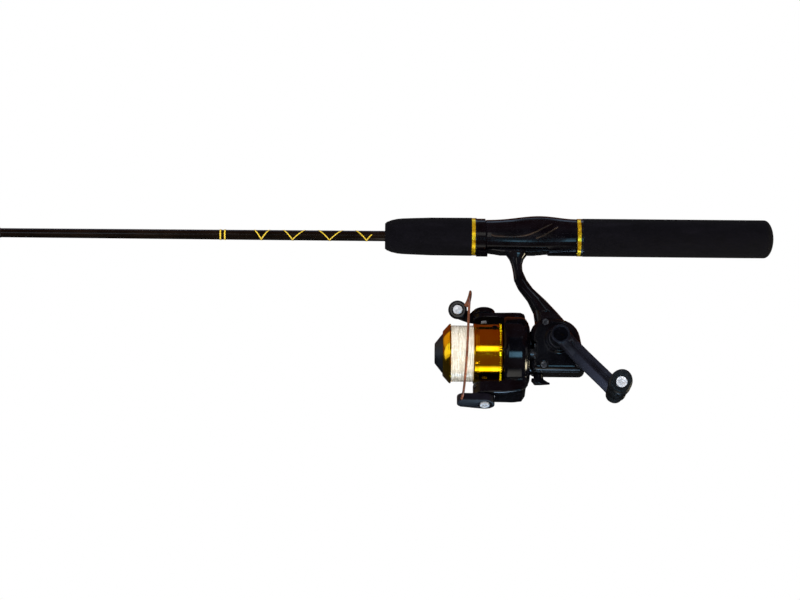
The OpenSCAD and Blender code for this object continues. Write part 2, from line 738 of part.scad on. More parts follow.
// ---- Rotor and bail. In the rotor's own frame the bail's pivots lie along Z through x = pivot_x.

module rotor_arm(side, outer, slope) {
    mirror([0, 0, side < 0 ? 1 : 0]) intersection() {
        rotate([90, 0, 0]) linear_extrude(height = arm_w, center = true) polygon([
            [-96, cup_r - 4], [-96.8, lerp(cup_r, outer, slope - 0.5)], [-99, lerp(cup_r, outer, slope)],
            [-104.5, lerp(cup_r, outer, 0.96)], [-110.5, outer], [arm_front, outer], [arm_front, arm_in],
            [-112.4, arm_in], [-110.4, cup_r - 1.4], [-99, cup_r - 4]
        ]);
        translate([0, 0, 15]) linear_extrude(height = 20) union() {
            translate([pivot_x, 0]) circle(r = pivot_x - arm_front);
            polygon([
                [pivot_x, -7.2], [-112, -arm_w / 2 + 0.6], [-104, -arm_w / 2], [-95, -arm_w / 2],
                [-95, arm_w / 2], [-104, arm_w / 2], [-112, arm_w / 2 - 0.6], [pivot_x, 7.2]
            ]);
        }
        tube(arm_front - 1, -90, outer + 0.6);
    }
}

module rotor() {
    color("#0c0c0f") rotor_frame() difference() {
        union() {
            lathe([
                [hub_front, hub_seat_r], [hub_front, 7], [-102.5, 7], [-102.5, drum_r - 2],
                [drum_front, drum_r - 2], [drum_front, drum_r], [-105.5, drum_r],
                [-105.5, skirt_r + 0.8], [cup_front, skirt_r + 0.8], [cup_front, cup_r - 1.4],
                [-106.5, cup_r], [-99, cup_r + 0.3], [-95.8, cup_r - 2], [cup_back, 17.2],
                [cup_back, 15.2], [-97.4, 15.2], [hub_back, nose_r + 1], [hub_back, hub_seat_r]
            ]);
            rotor_arm(1, arm_top, 0.72);
            rotor_arm(-1, arm_low, 0.84);
        }
        // pivot bores, and the spring's pocket in the lower arm
        translate([pivot_x, 0, 0]) {
            cylinder(h = 40, r = 1.9);
            mirror([0, 0, 1]) cylinder(h = 40, r = 1.9);
        }
        translate([-117.5, 0, -arm_low - 1]) cylinder(h = 5.6, r = 2.4);
    }
}

module rotor_nut() {
    color("#b58a3c") spool_axis() translate([nut_front, 0, 0]) rotate([0, 90, 0]) difference() {
        cylinder(h = hub_front - nut_front, r = 6, $fn = 6);
        translate([0, 0, -1]) cylinder(h = 8, r = hub_seat_r - 0.02);
    }
}

// Screws that carry the bail on the two arms, with a plain shank in the arm and a slotted head outside
module pivot_screw(r_head_face, shank_from) {
    translate([pivot_x, 0, 0]) difference() {
        union() {
            translate([0, 0, shank_from]) cylinder(h = r_head_face - shank_from, r = 1.85);
            translate([0, 0, r_head_face - 1.4]) cylinder(h = 1.4, r = 4.2);
        }
        for (a = [0, 90]) translate([0, 0, r_head_face]) rotate([0, 0, a]) cube([5, 0.8, 1.4], center = true);
    }
}

module bail_pivot_screws() {
    color("#c4c7cc") rotor_frame() {
        pivot_screw(arm_top + bail_gap + lever_t + 0.4, arm_in);
        mirror([0, 0, 1]) pivot_screw(arm_low + bail_gap + holder_t + 0.4, arm_in);
    }
}

// The lever on the upper arm, which runs forward and turns up into the plate that carries the roller
module bail_arm() {
    base = arm_top + bail_gap;
    color("#101013") rotor_frame() difference() {
        union() {
            translate([0, 0, base]) linear_extrude(height = lever_t) union() {
                translate([pivot_x, 0]) circle(r = 7);
                polygon([[pivot_x, -6.9], [-129, -2], [-132, 5], [-130.8, 8], [-128.6, 8.8], [pivot_x, 7]]);
            }
            hull() {
                translate([-130.8, 6.4, base]) cylinder(h = lever_t, r = 1.6, $fn = 24);
                translate([-128.6, 7.2, base]) cylinder(h = lever_t, r = 1.6, $fn = 24);
                translate([roller_x, roller_at[0], roller_at[1]]) rotate([roller_tilt, 0, 0])
                    translate([0, 0, -5.2]) cylinder(h = 2.6, r = 4.4, $fn = 32);
            }
        }
        translate([pivot_x, 0, base - 1]) cylinder(h = 10, r = 1.9);
        translate([pivot_x, 0, base + lever_t - 1]) cylinder(h = 3, r = 4.25);
        translate([roller_x, roller_at[0], roller_at[1]]) rotate([roller_tilt, 0, 0])
            translate([0, 0, -8]) cylinder(h = 8, r = 1.3);
    }
}

module line_roller() {
    color("#c9b370") roller_frame() rotate_extrude() polygon([
        [1.35, -2.3], [3.9, -2.3], [3.9, -1.7], [2.9, -0.4], [2.9, 0.4], [3.9, 1.7], [3.9, 2.3], [1.35, 2.3]
    ]);
}

module roller_cap() {
    color("#131316") roller_frame() difference() {
        union() {
            rotate_extrude() polygon([
                [0, 2.55], [roller_cap_r - 0.6, 2.55], [roller_cap_r, 3.1], [roller_cap_r, 4.3],
                [roller_cap_r - 0.8, 5.1], [0, 5.1]
            ]);
            translate([0, 0, -5]) cylinder(h = 8, r = 1.25);
        }
        translate([0, 0, 4.5]) cylinder(h = 3, r = 3.3);
    }
}

// Stations of the bail wire: place along X, angle from the upper arm, distance from the spool's axis
wire_stations = [
    [-136.6, 173.4, 34.4], [-135.8, 165, 36], [-135, 150, bail_reach - 1.8], [-134.2, 130, bail_reach - 0.6],
    [-133.3, 105, bail_reach], [-132.6, 80, bail_reach + 0.1], [-131.9, 60, bail_reach + 0.1],
    [-131.3, 42, bail_reach], [-130.9, 30, bail_reach - 0.3], [-131, 21, 36.6], [-131.8, 14.5, 33.9],
    [-133.2, 10.5, 31.4]
];
wire_curve = smooth([for (s = wire_stations) [s[0], -s[2] * sin(s[1]), s[2] * cos(s[1])]], 3);
wire_radii = let (n = len(wire_curve) - 1) [for (i = [0:n])
    wire_r + 0.85 * pow(max(0, (i - n + 9) / 9), 0.7)];

module bail_wire() {
    color("#6e4a34") rotor_frame() wire(wire_curve, wire_radii, 10, [for (p = wire_curve) [1, 0, 0]]);
}

module bail_holder() {
    base = arm_low + bail_gap;
    color("#121215") rotor_frame() mirror([0, 0, 1]) difference() {
        intersection() {
            translate([0, 0, base]) linear_extrude(height = holder_t)
                polygon(band([[pivot_x, 0, 6.2], [-134.8, -1.2, 4.4], [-134.8, -2, 4.4]], 0, 8));
            tube(-141, -110, base + holder_t);
        }
        translate([pivot_x, 0, base - 1]) cylinder(h = 12, r = 1.9);
        translate([pivot_x, 0, base + holder_t - 1]) cylinder(h = 3, r = 4.25);
    }
}

// A coil along Z whose ends stay flat
module coil(turns, r, wire_d, height) {
    steps = turns * 10;
    wire([for (i = [0:steps]) [r * cos(36 * i), r * sin(36 * i), height * i / steps]], wire_d / 2, 6,
        [for (i = [0:steps]) [0, 0, 1]]);
}

module bail_spring() {
    color("#a9adb3") rotor_frame() translate([-117.5, 0, -arm_low + 0.3]) coil(4, 1.75, 0.5, 3.8);
}

// ---- Shaft, spool and drag

module main_shaft() {
    color("#c4c7cc") spool_axis() difference() {
        tube(knob_back - 4.6, pin_x - 1.3, shaft_r);
    }
}

module shaft_slider() {
    half = 2.6;
    low = stroke_z - stroke_r - 1.9;
    high = stroke_z + stroke_r + 1.7;
    color("#d8d4c8") difference() {
        translate([pin_x - half, slider_y, low]) cube([2 * half, 3.7, high - low]);
        translate([pin_x - 1.15, slider_y - 1, low + 0.8]) cube([2.3, 3, high - low - 1.6]);
        spool_axis() tube(pin_x - half - 1, pin_x - 1.3, shaft_r);
    }
}

module spool_sleeve() {
    color("#b9bcc2") spool_axis() lathe([
        [lip_front + 1.2, shaft_r], [lip_front + 1.2, spool_bore - running_gap],
        [-117.4, spool_bore - running_gap], [-117.4, 6], [-115.6, 6], [-115.6, shaft_r]
    ]);
}

module spool() {
    wall = 1.2;
    color("#e0a612") spool_axis() difference() {
        lathe([
            [lip_front, drag_knob_r + 1.2], [lip_back - 1.2, skirt_r - 0.8], [lip_back - 0.5, skirt_r - 0.45],
            [lip_back, skirt_r - 0.8], [lip_back, arbor_r], [skirt_front, arbor_r],
            [skirt_front, skirt_r - 0.7], [skirt_front + 0.6, skirt_r], [skirt_back - 0.5, skirt_r],
            [skirt_back, skirt_r - 0.5], [skirt_back, skirt_r - wall], [skirt_front + 1.5, skirt_r - wall],
            [skirt_front + 1.5, 5.4], [-117.6, 5.4], [-117.6, spool_bore], [lip_front + 4.6, spool_bore],
            [lip_front + 4.6, 10.4], [lip_front + 2.3, 10.4], [lip_front + 2.3, drag_knob_r + 0.4],
            [lip_front, drag_knob_r + 0.4]
        ]);
        // the slot that the line clip springs from
        translate([skirt_back - 5.2, 0, 0]) rotate([clip_turn, 0, 0])
            translate([0, -skirt_r, 0]) cube([3.4, 6, 2.2], center = true);
    }
}

clip_turn = -46;

module line_clip() {
    color("#3a2a10") spool_axis() translate([skirt_back - 5.2, 0, 0]) rotate([clip_turn, 0, 0])
        translate([0, -skirt_r - 0.1, 0]) {
            translate([0, 0.5, 0]) cube([3.3, 1.2, 2.1], center = true);
            rotate([90, 0, 0]) cylinder(h = 0.6, r = 1.5);
        }
}

module line_core() {
    color("#d8cfc2") spool_axis() tube(lip_back, skirt_front, core_r, arbor_r);
}

// One strand wound in a single layer. Each end runs straight out of the spool's wall, then turns into the coil.
turn_pitch = (line_w - 2 * strand_d - 1.3) / strand_turns;
strand_start = skirt_front - strand_d - 0.65;
lead = 30;
function coil_x(a) = strand_start - turn_pitch * a / 360;
function coil_point(a) = let (r = line_r - strand_d / 2) [coil_x(a), -r * sin(a), r * cos(a)];
strand_end = 360 * strand_turns;
strand_path = concat(
    [for (k = [0:2]) coil_point(-7) + [strand_start - coil_x(-7), 0, 0]
        + [skirt_front - 0.02 - strand_start - k * strand_d * 0.55, 0, 0]],
    [for (a = [0:15:strand_end]) coil_point(a)],
    [for (k = [2:-1:0]) coil_point(strand_end + 7)
        + [lip_back + 0.02 - coil_x(strand_end + 7) + k * strand_d * 0.55, 0, 0]]);

// The least gap between the strand's turns, measured from every point to the later ones a half turn on
strand_gap = min([for (i = [0:len(strand_path) - 1]) each
    [for (j = [i + 12:1:min(i + 40, len(strand_path) - 1)]) norm(strand_path[i] - strand_path[j])]]) - strand_d;
echo(strand_gap = strand_gap);

module line_winding() {
    color("#e6dccb") spool_axis() wire(strand_path, strand_d / 2, 6,
        [for (p = strand_path) unit([0, p[1], p[2]])]);
}

module drag_washers() {
    color("#cfd2d6") spool_axis() for (i = [0:2])
        tube(lip_front + 3 + i * 0.52, lip_front + 3.5 + i * 0.52, 10 - (i % 2) * 0.5, spool_bore + 0.05);
}

module washer_clip() {
    color("#8c8f94") spool_axis() translate([lip_front + 2.45, 0, 0]) rotate([0, 90, 0]) difference() {
        cylinder(h = 0.45, r = 10.37);
        translate([0, 0, -1]) cylinder(h = 3, r = 9);
        translate([7, -2.5, -1]) cube([6, 5, 3]);
    }
}

module drag_knob() {
    color("#1b2226") spool_axis() difference() {
        lathe([
            [knob_front, 0], [knob_front, 6.2], [knob_front + 0.5, 6.8], [knob_back - 2.2, drag_knob_r - 0.4],
            [knob_back - 1.6, drag_knob_r], [knob_back, drag_knob_r], [knob_back, 10],
            [knob_back - 3, 10], [knob_back - 3, shaft_r + running_gap + 0.02],
            [knob_front + 1.6, shaft_r + running_gap + 0.02], [knob_front + 1.6, 0]
        ]);
        for (i = [0:8]) rotate([i * 40, 0, 0]) translate([knob_front - 0.4, 0, 10.9])
            rotate([0, 58, 0]) cylinder(h = 9, r = 1.1, center = true);
    }
}

module drag_spring() {
    color("#a9adb3") spool_axis() translate([knob_back - 2.55, 0, 0]) rotate([0, 90, 0])
        coil(3, 4.2, 0.8, lip_front + 2.55 - knob_back + 2.55);
}

// ---- Crank

crank_along = [cos(crank_angle), 0, -sin(crank_angle)];
crank_across = [sin(crank_angle), 0, cos(crank_angle)];

module handle_shaft() {
    color("#c4c7cc") difference() {
        union() {
            bar_y(crank_x, crank_z, crank_hub_y - 2.4, -case_y - 1.2, 3);
            bar_y(crank_x, crank_z, -case_y - 2.2, -case_y - 1.1, 4.4);
            crank_axis() translate([-2.45, -2.45, 6]) cube([4.9, 4.9, case_y - 4]);
        }
        bar_y(crank_x, crank_z, crank_hub_y - 3, crank_hub_y + 6, 1.2);
    }
}

// A section of the arm with a ridge along its outer face
function arm_ring(at, w, t, ridge) = [for (q = [
        [-0.5, 0.36], [-0.5, -0.2], [-0.38, -0.42], [-0.06, -0.5 - ridge], [0.04, -0.5 - ridge],
        [0.42, -0.4], [0.5, -0.2], [0.5, 0.36], [0.4, 0.5], [-0.4, 0.5]
    ]) at + q[0] * w * crank_across + [0, q[1] * t, 0]];

module handle_arm() {
    hub = [crank_x, crank_hub_y, crank_z];
    end = [crank_end[0], crank_tip_y, crank_end[1]];
    color("#0f1013") difference() {
        union() {
            loft([for (s = [[-0.02, 0, 5.2, 0], [0.12, 0, 5.2, 0.08], [0.3, 0.12, 5, 0.12],
                    [0.5, 0.4, 4.8, 0.12], [0.7, 0.76, 4.6, 0.1], [0.84, 0.97, 4.6, 0], [1.02, 1, 4.6, 0]])
                arm_ring([lerp(hub[0], end[0], s[0]), lerp(hub[1], end[1], s[1]), lerp(hub[2], end[2], s[0])],
                    crank_w, s[2], s[3])]);
            bar_y(hub[0], hub[2], hub[1] - 2.7, hub[1] + 7.4, 6);
            bar_y(end[0], end[2], end[1] - 2.3, end[1] + 2.3, crank_w / 2);
        }
        bar_y(hub[0], hub[2], hub[1] - 1.4, hub[1] + 9, 3);
        bar_y(hub[0], hub[2], hub[1] - 5, hub[1] - 1.3, 4.3);
        bar_y(end[0], end[2], end[1] - 5, end[1] + 5, 1.9);
        bar_y(end[0], end[2], end[1] + 2.31, end[1] + 5, 3.1);
    }
}

module handle_cap_screw() {
    color("#131316") difference() {
        union() {
            bar_y(crank_x, crank_z, crank_hub_y - 3.8, crank_hub_y - 2.42, 4.25);
            bar_y(crank_x, crank_z, crank_hub_y - 2.5, crank_hub_y + 5, 1.15);
        }
        translate([crank_x, crank_hub_y - 3.8, crank_z]) rotate([0, 30, 0]) cube([5.4, 1.4, 0.9], center = true);
    }
}

module knob_spindle() {
    color("#c4c7cc") difference() {
        union() {
            bar_y(crank_end[0], crank_end[1], knob_y - knob_h + 2.6, crank_tip_y + 2.6, 1.85);
            bar_y(crank_end[0], crank_end[1], crank_tip_y + 2.32, crank_tip_y + 3.3, 3);
            bar_y(crank_end[0], crank_end[1], knob_y + 0.25, crank_tip_y - 2.32, 3);
        }
        bar_y(crank_end[0], crank_end[1], knob_y - knob_h, knob_y - 8, 1);
    }
}

knob_tilt = 64;
knob_shift = [[-1.9, -1.6], [-0.2, 0.6]];

// Sections of the knob: share of its height, share of its width
knob_profile = [[0, 0.66], [0.04, 0.75], [0.3, 0.82], [0.62, 0.9], [0.86, 1], [0.95, 0.98], [1, 0.84]];

function knob_ring(y, share, shift) = [for (k = [0:27]) let (
        a = 360 * k / 28, r = knob_wide / 2 * share, run = (knob_long - knob_wide) / 2,
        u = (cos(a) >= 0 ? run : -run) + r * cos(a), v = r * sin(a) * (1 - 0.1 * cos(a)))
    [crank_end[0] + shift[0] + u * cos(knob_tilt) - v * sin(knob_tilt), y,
     crank_end[1] + shift[1] + u * sin(knob_tilt) + v * cos(knob_tilt)]];

module handle_knob() {
    color("#141417") difference() {
        loft([for (p = knob_profile) knob_ring(knob_y - p[0] * knob_h, p[1],
            lerp(knob_shift[0], knob_shift[1], p[0]))]);
        bar_y(crank_end[0], crank_end[1], knob_y - knob_h - 1, knob_y + 1, 1.85 + running_gap);
        bar_y(crank_end[0], crank_end[1], knob_y - knob_h - 1, knob_y - knob_h + 2.2, 3.6);
    }
}

module knob_screw() {
    y = knob_y - knob_h;
    color("#d9d3c2") difference() {
        union() {
            bar_y(crank_end[0], crank_end[1], y + 0.2, y + 1.8, 3.3);
            bar_y(crank_end[0], crank_end[1], y + 1.7, y + 8, 0.95);
        }
        for (a = [0, 90]) translate([crank_end[0], y + 0.2, crank_end[1]]) rotate([0, a + 20, 0])
            cube([4.2, 1.3, 0.8], center = true);
    }
}

// ---- Anti-reverse stop

// The lever's shaft stands up through the case's floor and carries the pawl under the ratchet
module stop_lever() {
    top = case_floor - stop_floor_gap;
    color("#101013") union() {
        translate([stop_x, 0, top - 0.1]) cylinder(h = 5.4, r = 1.5);
        translate([stop_x, 0, top - 3]) cylinder(h = 3, r = 3);
        translate([0, 0, top - 6.1]) linear_extrude(height = 3.3) polygon([
            [stop_x - 4.4, -2.4], [stop_x - 4.4, 2.4], [stop_x - 2.9, 3.4], [stop_x + 1.1, 3.2],
            [stop_x + 7, 1], [stop_x + 7, -1], [stop_x + 1.1, -3.2], [stop_x - 2.9, -3.4]
        ]);
    }
}

// Its finger stands beside the ratchet and is clear of it when the stop is off
module stop_pawl() {
    z = case_floor + 2.7;
    color("#8c8f94") difference() {
        union() {
            translate([0, 0, z]) linear_extrude(height = 2.2) polygon([
                [stop_x - 2, -2.4], [stop_x + 2.4, -2.4], [stop_x + 3.8, 4.2], [stop_x + 3.8, 6.4],
                [stop_x + 2, 6.4], [stop_x - 2, 2.4]
            ]);
            translate([stop_x + 2, 4.4, z]) cube([1.8, 2, 6]);
        }
        translate([stop_x, 0, z - 1]) cylinder(h = 5, r = 1.5);
    }
}

// ---- Nodes

blank();
rear_grip();
rear_trim_ring();
seat_body();
thread_barrel();
seat_hood();
lock_nut();
front_trim_ring();
foregrip();
guide_frame(0);  // guide_frame_1
guide_frame(1);  // guide_frame_2
guide_frame(2);  // guide_frame_3
guide_ring(0);  // guide_ring_1
guide_ring(1);  // guide_ring_2
guide_ring(2);  // guide_ring_3
tip_top_frame();
tip_top_ring();
guide_wraps();
trim_wraps();
reel_body();
side_cover();
cover_screws();
axle_bushes();
bearing_outer();
bearing_inner();
bearing_balls();
main_gear();
handle_shaft();
handle_arm();
handle_cap_screw();
knob_spindle();
handle_knob();
knob_screw();
pinion_gear();
ratchet();
rotor();
rotor_nut();
bail_arm();
line_roller();
roller_cap();
bail_wire();
bail_holder();
bail_pivot_screws();
bail_spring();
stroke_gear();
main_shaft();
shaft_slider();
spool_sleeve();
spool();
line_core();
line_winding();
line_clip();
drag_washers();
washer_clip();
drag_knob();
drag_spring();
stop_lever();
stop_pawl();
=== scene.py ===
import bpy
import bmesh
import json
import math
from mathutils import Matrix, Vector
from mathutils.bvhtree import BVHTree

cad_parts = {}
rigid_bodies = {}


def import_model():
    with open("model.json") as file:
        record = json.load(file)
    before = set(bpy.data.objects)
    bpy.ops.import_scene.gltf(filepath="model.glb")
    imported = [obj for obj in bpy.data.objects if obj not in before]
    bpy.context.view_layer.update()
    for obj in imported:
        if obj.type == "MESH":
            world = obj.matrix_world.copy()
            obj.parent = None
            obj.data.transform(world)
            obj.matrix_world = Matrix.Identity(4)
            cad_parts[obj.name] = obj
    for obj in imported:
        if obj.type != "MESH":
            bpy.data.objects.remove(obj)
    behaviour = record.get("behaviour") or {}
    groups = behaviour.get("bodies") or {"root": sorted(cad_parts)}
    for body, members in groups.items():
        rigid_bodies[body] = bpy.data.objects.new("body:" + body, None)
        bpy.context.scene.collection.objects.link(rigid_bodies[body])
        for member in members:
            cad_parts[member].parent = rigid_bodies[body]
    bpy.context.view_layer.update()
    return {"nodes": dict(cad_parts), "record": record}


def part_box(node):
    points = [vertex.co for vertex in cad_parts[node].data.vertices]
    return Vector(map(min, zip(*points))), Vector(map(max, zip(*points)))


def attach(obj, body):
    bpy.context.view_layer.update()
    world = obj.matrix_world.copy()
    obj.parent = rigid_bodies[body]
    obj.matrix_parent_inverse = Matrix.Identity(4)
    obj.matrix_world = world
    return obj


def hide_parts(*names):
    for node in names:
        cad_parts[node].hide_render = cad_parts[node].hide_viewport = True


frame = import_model()
nodes = frame["nodes"]
mm = 0.001
print("frame loaded,", len(nodes), "pieces")


# camera

view = {
    "target": (-0.1747, 0.0097, -0.039), "distance": 1.6, "lookUp": 14.0, "roll": 0.5,
    "lens": 114.3, "sensor": 36, "near": 0.05, "far": 40,
}


def addCamera(v):
    camera = bpy.data.objects.new("camera", bpy.data.cameras.new("camera"))
    bpy.context.collection.objects.link(camera)
    tilt = math.radians(v["lookUp"])
    ahead = Vector((0, math.cos(tilt), math.sin(tilt)))
    roll = Matrix.Rotation(math.radians(v["roll"]), 4, "Z")
    turn = Matrix.Rotation(math.radians(90) + tilt, 4, "X") @ roll
    camera.matrix_world = Matrix.Translation(Vector(v["target"]) - ahead * v["distance"]) @ turn
    camera.data.lens, camera.data.sensor_width = v["lens"], v["sensor"]
    camera.data.clip_start, camera.data.clip_end = v["near"], v["far"]
    bpy.context.scene.camera = camera


def newMesh(name, points, faces):
    mesh = bpy.data.meshes.new(name)
    mesh.from_pydata(points, [], faces)
    mesh.update()
    piece = bpy.data.objects.new(name, mesh)
    bpy.context.collection.objects.link(piece)
    return piece


addCamera(view)
bpy.context.scene.view_settings.view_transform = "Standard"


# shader maths: a Value is a socket, and sums on it add Math nodes

class Value:
    def __init__(self, shader, socket):
        self.shader, self.socket = shader, socket

    def maths(self, operation, *values):
        return self.shader.node("ShaderNodeMath", {"operation": operation}, dict(enumerate(values)))

    def __add__(self, other): return self.maths("ADD", self, other)
    def __sub__(self, other): return self.maths("SUBTRACT", self, other)
    def __rsub__(self, other): return self.maths("SUBTRACT", other, self)
    def __mul__(self, other): return self.maths("MULTIPLY", self, other)
    def sine(self): return self.maths("SINE", self)
    def size(self): return self.maths("ABSOLUTE", self)

    def step(self, low, high, outLow=0.0, outHigh=1.0):
        return self.shader.node("ShaderNodeMapRange", {"interpolation_type": "SMOOTHSTEP"},
                                {0: self, 1: low, 2: high, 3: outLow, 4: outHigh})


class Shader:
    def __init__(self, name):
        self.material = bpy.data.materials.new(name)
        self.material.use_nodes = True
        self.tree = self.material.node_tree
        self.bsdf = self.tree.nodes["Principled BSDF"]

    def node(self, kind, settings, inputs, out=0):
        new = self.tree.nodes.new(kind)
        for key, setting in settings.items():
            if key == "stops":
                ramp = new.color_ramp.elements
                while len(ramp) < len(setting):
                    ramp.new(0.5)
                for stop, (place, colour) in zip(ramp, setting):
                    stop.position, stop.color = place, tuple(colour) + (1,)
            else:
                setattr(new, key, setting)
        for key, value in inputs.items():
            self.feed(new.inputs[key], value)
        return Value(self, new.outputs[out])

    def feed(self, socket, value):
        if isinstance(value, Value):
            self.tree.links.new(value.socket, socket)
        elif isinstance(value, tuple) and len(value) == 3 and len(socket.default_value) == 4:
            socket.default_value = value + (1,)
        else:
            socket.default_value = value

    def place(self):
        return self.node("ShaderNodeTexCoord", {}, {}, "Object")

    def axes(self, place):
        parts = self.node("ShaderNodeSeparateXYZ", {}, {0: place}).socket.node.outputs
        return [Value(self, parts[i]) for i in range(3)]

    def mapped(self, place, scale):
        return self.node("ShaderNodeMapping", {}, {"Vector": place, "Scale": scale})

    def noise(self, place, scale, detail, rough=0.5):
        return self.node("ShaderNodeTexNoise", {}, {
            "Vector": place, "Scale": scale, "Detail": detail, "Roughness": rough})

    def cells(self, place, scale):
        return self.node("ShaderNodeTexVoronoi", {}, {"Vector": place, "Scale": scale})

    def ramp(self, value, stops):
        return self.node("ShaderNodeValToRGB", {"stops": stops}, {0: value})

    def mix(self, factor, a, b):
        mixed = self.node("ShaderNodeMix", {"data_type": "RGBA"}, {"Factor": factor}, 2)
        colours = [socket for socket in mixed.socket.node.inputs if socket.type == "RGBA"]
        for socket, value in zip(colours, (a, b)):
            self.feed(socket, value)
        return mixed

    def bump(self, height, depth, strength):
        return self.node("ShaderNodeBump", {}, {
            "Height": height, "Distance": depth, "Strength": strength})

    def surface(self, **sockets):
        for key, value in sockets.items():
            self.feed(self.bsdf.inputs[key.replace("_", " ")], value)
        return self.material


def srgb(red, green, blue):
    return tuple((c / 255 / 12.92) if c <= 10 else ((c / 255 + 0.055) / 1.055) ** 2.4
                 for c in (red, green, blue))


# finishes; cell, depth, groove, pitch, peel, cut and the like are in mm

finish = {
    "foam": {"dark": srgb(3, 3, 4), "light": srgb(10, 9, 13), "cell": 0.42, "depth": 0.11},
    "gloss": {"dust": 0.015, "specular": 0.1, "coatRough": 0.05},
    "gold": {"groove": 0.22},
    "thread": {"pitch": 0.26, "depth": 0.05},
    "line": {"clear": srgb(243, 236, 222), "shade": srgb(220, 210, 190)},
    "steel": {"pale": srgb(206, 208, 212), "grey": srgb(150, 152, 158)},
    "trim": {"fronts": (-130.0, -63.8), "wide": 2.1, "edge": 0.2, "metal": 0.8,
             "black": srgb(6, 6, 8), "deep": srgb(214, 160, 8), "bright": srgb(252, 218, 40)},
    # the crank's strips, lit share and pale colour make a painted highlight on the arm
    "crank": {"hub": (-76, -68.5), "angle": 48, "strip": (-1.6, -0.6), "second": (2.2, 3.0),
              "weak": 0.35, "lit": (6, 45), "dark": srgb(7, 8, 13), "mid": srgb(15, 17, 25),
              "pale": srgb(33, 37, 49)},
    "blank": {"tape": 2.4, "bareFrom": -626.5, "bareSoft": 12, "dark": srgb(6, 4, 3),
              "light": srgb(15, 9, 6), "fibre": srgb(40, 30, 24), "bare": srgb(58, 46, 38)},
    "wire": {"copper": srgb(160, 96, 66), "dull": srgb(104, 66, 52)},
}


def foamFinish():
    s, f = Shader("evaFoam"), finish["foam"]
    place = s.place()
    cells = s.cells(place, 1000 / f["cell"])
    coarse = s.noise(place, 120, 4, 0.6)
    grain = s.noise(place, 2600, 2)
    tone = s.ramp(cells * 0.55 + coarse * 0.5, [(0.2, f["dark"]), (0.62, f["light"])])
    worn = s.noise(s.mapped(place, (30, 160, 160)), 1.0, 5, 0.65)
    colour = s.mix(worn.step(0.5, 0.75) * 0.35, tone, srgb(21, 19, 25))
    bump = s.bump(cells * 0.8 + grain * 0.3, f["depth"] * mm, 0.8)
    return s.surface(Base_Color=colour, Roughness=coarse.step(0.2, 0.8, 0.82, 0.97), Normal=bump,
                     Specular_IOR_Level=0.04, Sheen_Weight=0.01, Sheen_Roughness=0.5)


def glossFinish(name, black, tint, rough, peel, coat):
    s, f = Shader(name), finish["gloss"]
    place = s.place()
    cloud = s.noise(place, 90, 4, 0.55)
    peelWaves = s.noise(place, 700, 2)
    dust = s.noise(place, 5200, 1).step(0.72, 0.78)
    rubbed = s.noise(place, 260, 5, 0.7)
    colour = s.mix(cloud.step(0.35, 0.7), black, tint)
    colour = s.mix(dust * f["dust"], colour, srgb(120, 116, 124))
    return s.surface(Base_Color=colour, Roughness=rubbed.step(0.35, 0.8, rough, rough + 0.12),
                     Normal=s.bump(peelWaves, peel * mm, 0.6), Specular_IOR_Level=f["specular"],
                     Coat_Weight=coat, Coat_Roughness=f["coatRough"], Coat_IOR=1.45)


def goldFinish(name, rough, deep, bright, cut):
    s, f = Shader(name), finish["gold"]
    place = s.place()
    x = s.axes(place)[0]
    grooves = (x * (2 * math.pi * 1000 / f["groove"])).sine()
    streaks = s.noise(s.mapped(place, (1500, 60, 60)), 1.0, 3, 0.6)
    cloud = s.noise(place, 70, 3)
    tone = s.mix(cloud.step(0.3, 0.75), deep, bright)
    tone = s.mix(streaks.step(0.45, 0.8) * 0.3, tone, srgb(255, 226, 70))
    return s.surface(Base_Color=tone, Metallic=1.0,
                     Roughness=streaks.step(0.3, 0.7, rough, rough + 0.08),
                     Normal=s.bump(grooves * 0.5 + streaks * 0.5, cut * mm, 0.7))


def trimFinish():
    # a gold band round the front of each ring, and black lacquer behind it
    s, f = Shader("goldTrim"), finish["trim"]
    place = s.place()
    x = s.axes(place)[0]
    band, edge = 0.0, f["edge"] * mm
    for front in f["fronts"]:
        back = front + f["wide"]
        band = (x - front * mm).step(0.0, edge) * (1 - (x - back * mm).step(0.0, edge)) + band
    cloud = s.noise(place, 260, 3)
    gold = s.mix(cloud.step(0.3, 0.7), f["deep"], f["bright"])
    return s.surface(Base_Color=s.mix(band, f["black"], gold), Metallic=band * f["metal"],
                     Roughness=cloud.step(0.3, 0.7, 0.24, 0.34),
                     Normal=s.bump(cloud, 0.004 * mm, 0.5))


def crankFinish():
    # satin paint with a painted highlight: a pale strip below the dark hollow and a weaker one
    # above, clearer to the knob
    s, f = Shader("crankPaint"), finish["crank"]
    place = s.place()
    x, _, z = s.axes(place)
    turn = math.radians(f["angle"])
    fromHub, over = x - f["hub"][0] * mm, z - f["hub"][1] * mm
    across = fromHub * math.sin(turn) + over * math.cos(turn)
    along = fromHub * math.cos(turn) - over * math.sin(turn)
    # painted highlight: a pale strip below the hollow and a weaker one above it
    strip = 1 - across.step(*(edge * mm for edge in f["strip"]))
    second = across.step(*(edge * mm for edge in f["second"])) * f["weak"]
    cloud = s.noise(place, 120, 4)
    tone = s.mix(cloud.step(0.3, 0.7), f["dark"], f["mid"])
    # the painted highlight grows clearer along the arm towards the knob
    lit = along.step(*(edge * mm for edge in f["lit"]))
    tone = s.mix((strip + second) * lit, tone, f["pale"])
    return s.surface(Base_Color=tone, Roughness=cloud.step(0.3, 0.7, 0.26, 0.4),
                     Specular_IOR_Level=0.12, Coat_Weight=0.25, Coat_Roughness=0.08,
                     Normal=s.bump(s.noise(place, 900, 2), 0.015 * mm, 0.5))


